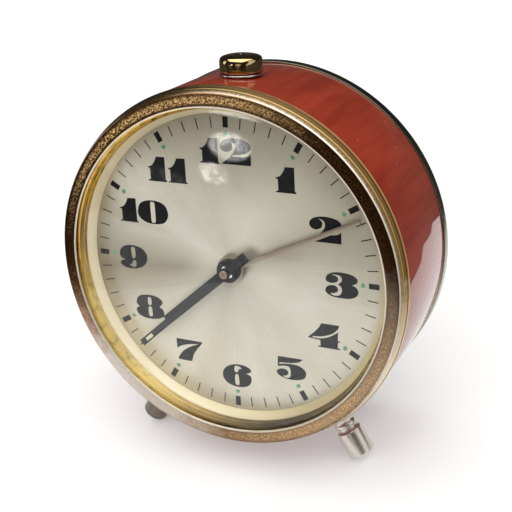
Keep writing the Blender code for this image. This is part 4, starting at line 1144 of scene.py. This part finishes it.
# The edge of the pale paper the clock stands on
WHITE_SHEET = (
    (-0.168, -0.36), (0.10, -0.36), (0.10, 0.02), (0.083, 0.074), (0.086, 0.084), (0.088, 0.093),
    (0.082, 0.0965), (0.077, 0.100), (0.077, 0.112), (-0.168, 0.112),
)
FAR = 6.0
DARK_LIFT = 0.0004  # just over the floor


def dark_surround():
    """The dim room round the paper, seen only in polished surfaces."""
    loops = [square(FAR), WHITE_SHEET]
    faces = tessellate_polygon([[Vector((x, y, 0.0)) for x, y in loop] for loop in loops])
    corners = [corner for loop in loops for corner in loop]
    dim = mottled("dim_surround", 3.0, (0.015, 0.013, 0.011), (0.06, 0.05, 0.04), Roughness=0.9)
    surround = level_part("dim_surround", corners, DARK_LIFT, faces, dim)
    surround.visible_camera = False
    surround.visible_diffuse = False
    surround.visible_transmission = False
    surround.visible_shadow = False


dark_surround()

# Soft lights that the camera doesn't see: azimuth from the front (positive to the right), elevation, and
# half-widths, all in degrees, then brightness and how broken up each is
GLOWS = (
    (-24.7, 12.2, 3.4, 2.0, 10.0, 0.55),
    (-26.8, 7.9, 2.6, 1.5, 7.4, 0.75),
    (-37.0, 4.5, 9.0, 2.2, 0.6, 0.8),
    (10.0, 14.0, 16.0, 9.0, 0.7, 0.2),
    (68.0, 3.0, 17.0, 11.0, 0.9, 0.1),
    (-75.0, 12.0, 10.0, 16.0, 1.6, 0.1),
    (93.0, 20.0, 25.0, 17.0, 1.0, 0.1),
    (-160.0, 55.0, 30.0, 18.0, 1.0, 0.1),
    (30.0, 60.0, 60.0, 20.0, 0.7, 0.0),
)


def make_world():
    """White behind the clock, and a dim room with soft lights in its reflections."""
    world = bpy.data.worlds.new("studio")
    bpy.context.scene.world = world
    world.use_nodes = True
    tree = world.node_tree
    add = partial(add_node, tree)

    def calc(operation, a, b=0.0):
        return add("ShaderNodeMath", {0: a, 1: b}, operation=operation).outputs[0]

    def smooth(value, low, high):
        node = add("ShaderNodeMapRange", {0: value, 1: low, 2: high}, interpolation_type="SMOOTHSTEP")
        return node.outputs[0]

    direction = add("ShaderNodeTexCoord").outputs["Generated"]
    x, y, z = add("ShaderNodeSeparateXYZ", {0: direction}).outputs
    azimuth = calc("MULTIPLY", calc("ARCTAN2", x, calc("MULTIPLY", y, -1.0)), degrees(1.0))
    elevation = calc("MULTIPLY", calc("ARCSINE", z), degrees(1.0))
    cloud = add("ShaderNodeTexNoise", {"Vector": direction, "Scale": 38.0, "Detail": 3.0}).outputs["Fac"]
    cloud = smooth(cloud, 0.42, 0.60)
    folds = calc("MULTIPLY", azimuth, 0.11)
    drapes = add("ShaderNodeTexNoise", {"Vector": folds, "Scale": 1.0, "Detail": 3.0})
    total = calc("ADD", calc("MULTIPLY", drapes.outputs["Fac"], 0.05), 0.003)
    for glow_azimuth, glow_elevation, wide, high, strength, broken in GLOWS:
        aside = calc("ABSOLUTE", calc("SUBTRACT", azimuth, glow_azimuth))
        aside = calc("MINIMUM", aside, calc("SUBTRACT", 360.0, aside))
        aside = calc("POWER", calc("DIVIDE", aside, wide), 2.0)
        above = calc("ABSOLUTE", calc("DIVIDE", calc("SUBTRACT", elevation, glow_elevation), high))
        above = calc("POWER", above, 2.0)
        shape = smooth(calc("SQRT", calc("ADD", aside, above)), 1.15, 0.75)
        gaps = calc("ADD", calc("MULTIPLY", cloud, broken), 1.0 - broken)
        total = calc("ADD", total, calc("MULTIPLY", calc("MULTIPLY", shape, gaps), strength))
    sky = tree.nodes["Background"]
    sky.inputs["Color"].default_value = (1.0, 0.97, 0.93, 1.0)
    tree.links.new(total, sky.inputs["Strength"])
    white = add("ShaderNodeBackground", {"Color": (1.0, 1.0, 1.0, 1.0), "Strength": 1.0})
    seen = add("ShaderNodeLightPath").outputs["Is Camera Ray"]
    choice = add("ShaderNodeMixShader", {0: seen, 1: sky.outputs[0], 2: white.outputs[0]})
    tree.links.new(choice.outputs[0], tree.nodes["World Output"].inputs["Surface"])


make_world()

AIM = CLOCK @ Vector((0.0, 0.0, -5.0))  # the middle of the case


def lamp(name, place, side, power, colour=(1.0, 1.0, 1.0), shiny=True):
    """A square lamp that faces the clock, in metres and watts."""
    light = bpy.data.lights.new(name, "AREA")
    light.shape = "RECTANGLE"
    light.size = side
    light.size_y = side
    light.energy = power
    light.color = colour
    stand = placed(name, light)
    stand.location = place
    stand.rotation_euler = (Vector(place) - AIM).to_track_quat("Z", "Y").to_euler()
    stand.visible_camera = False
    stand.visible_glossy = shiny
    stand.visible_transmission = shiny
    return stand


lamp("overhead", (0.0, 0.0, 1.8), side=3.0, power=66.0)
lamp("window", (-0.80, -1.05, 0.35), side=0.5, power=5.0, colour=(1.0, 0.97, 0.92), shiny=False)

# The camera that the photo's dial, bezel and feet fit, in the clock's own frame
EYE = CLOCK @ Vector((107.324, 92.142, 212.150))
SIGHT = TURN @ Vector((-0.40212, -0.35191, -0.84526))
TOP = TURN @ Vector((-0.11515, 0.93529, -0.33461))
LENS = 74.4
SENSOR = 36.0
camera_data = bpy.data.cameras.new("camera")
camera_data.lens = LENS
camera_data.sensor_width = SENSOR
camera = placed("camera", camera_data)
side = SIGHT.cross(TOP).normalized()
top = side.cross(SIGHT).normalized()
aim = Matrix((side, top, -SIGHT.normalized())).transposed()
camera.matrix_world = Matrix.Translation(EYE) @ aim.to_4x4()
bpy.context.scene.camera = camera
bpy.context.scene.view_settings.view_transform = "Standard"
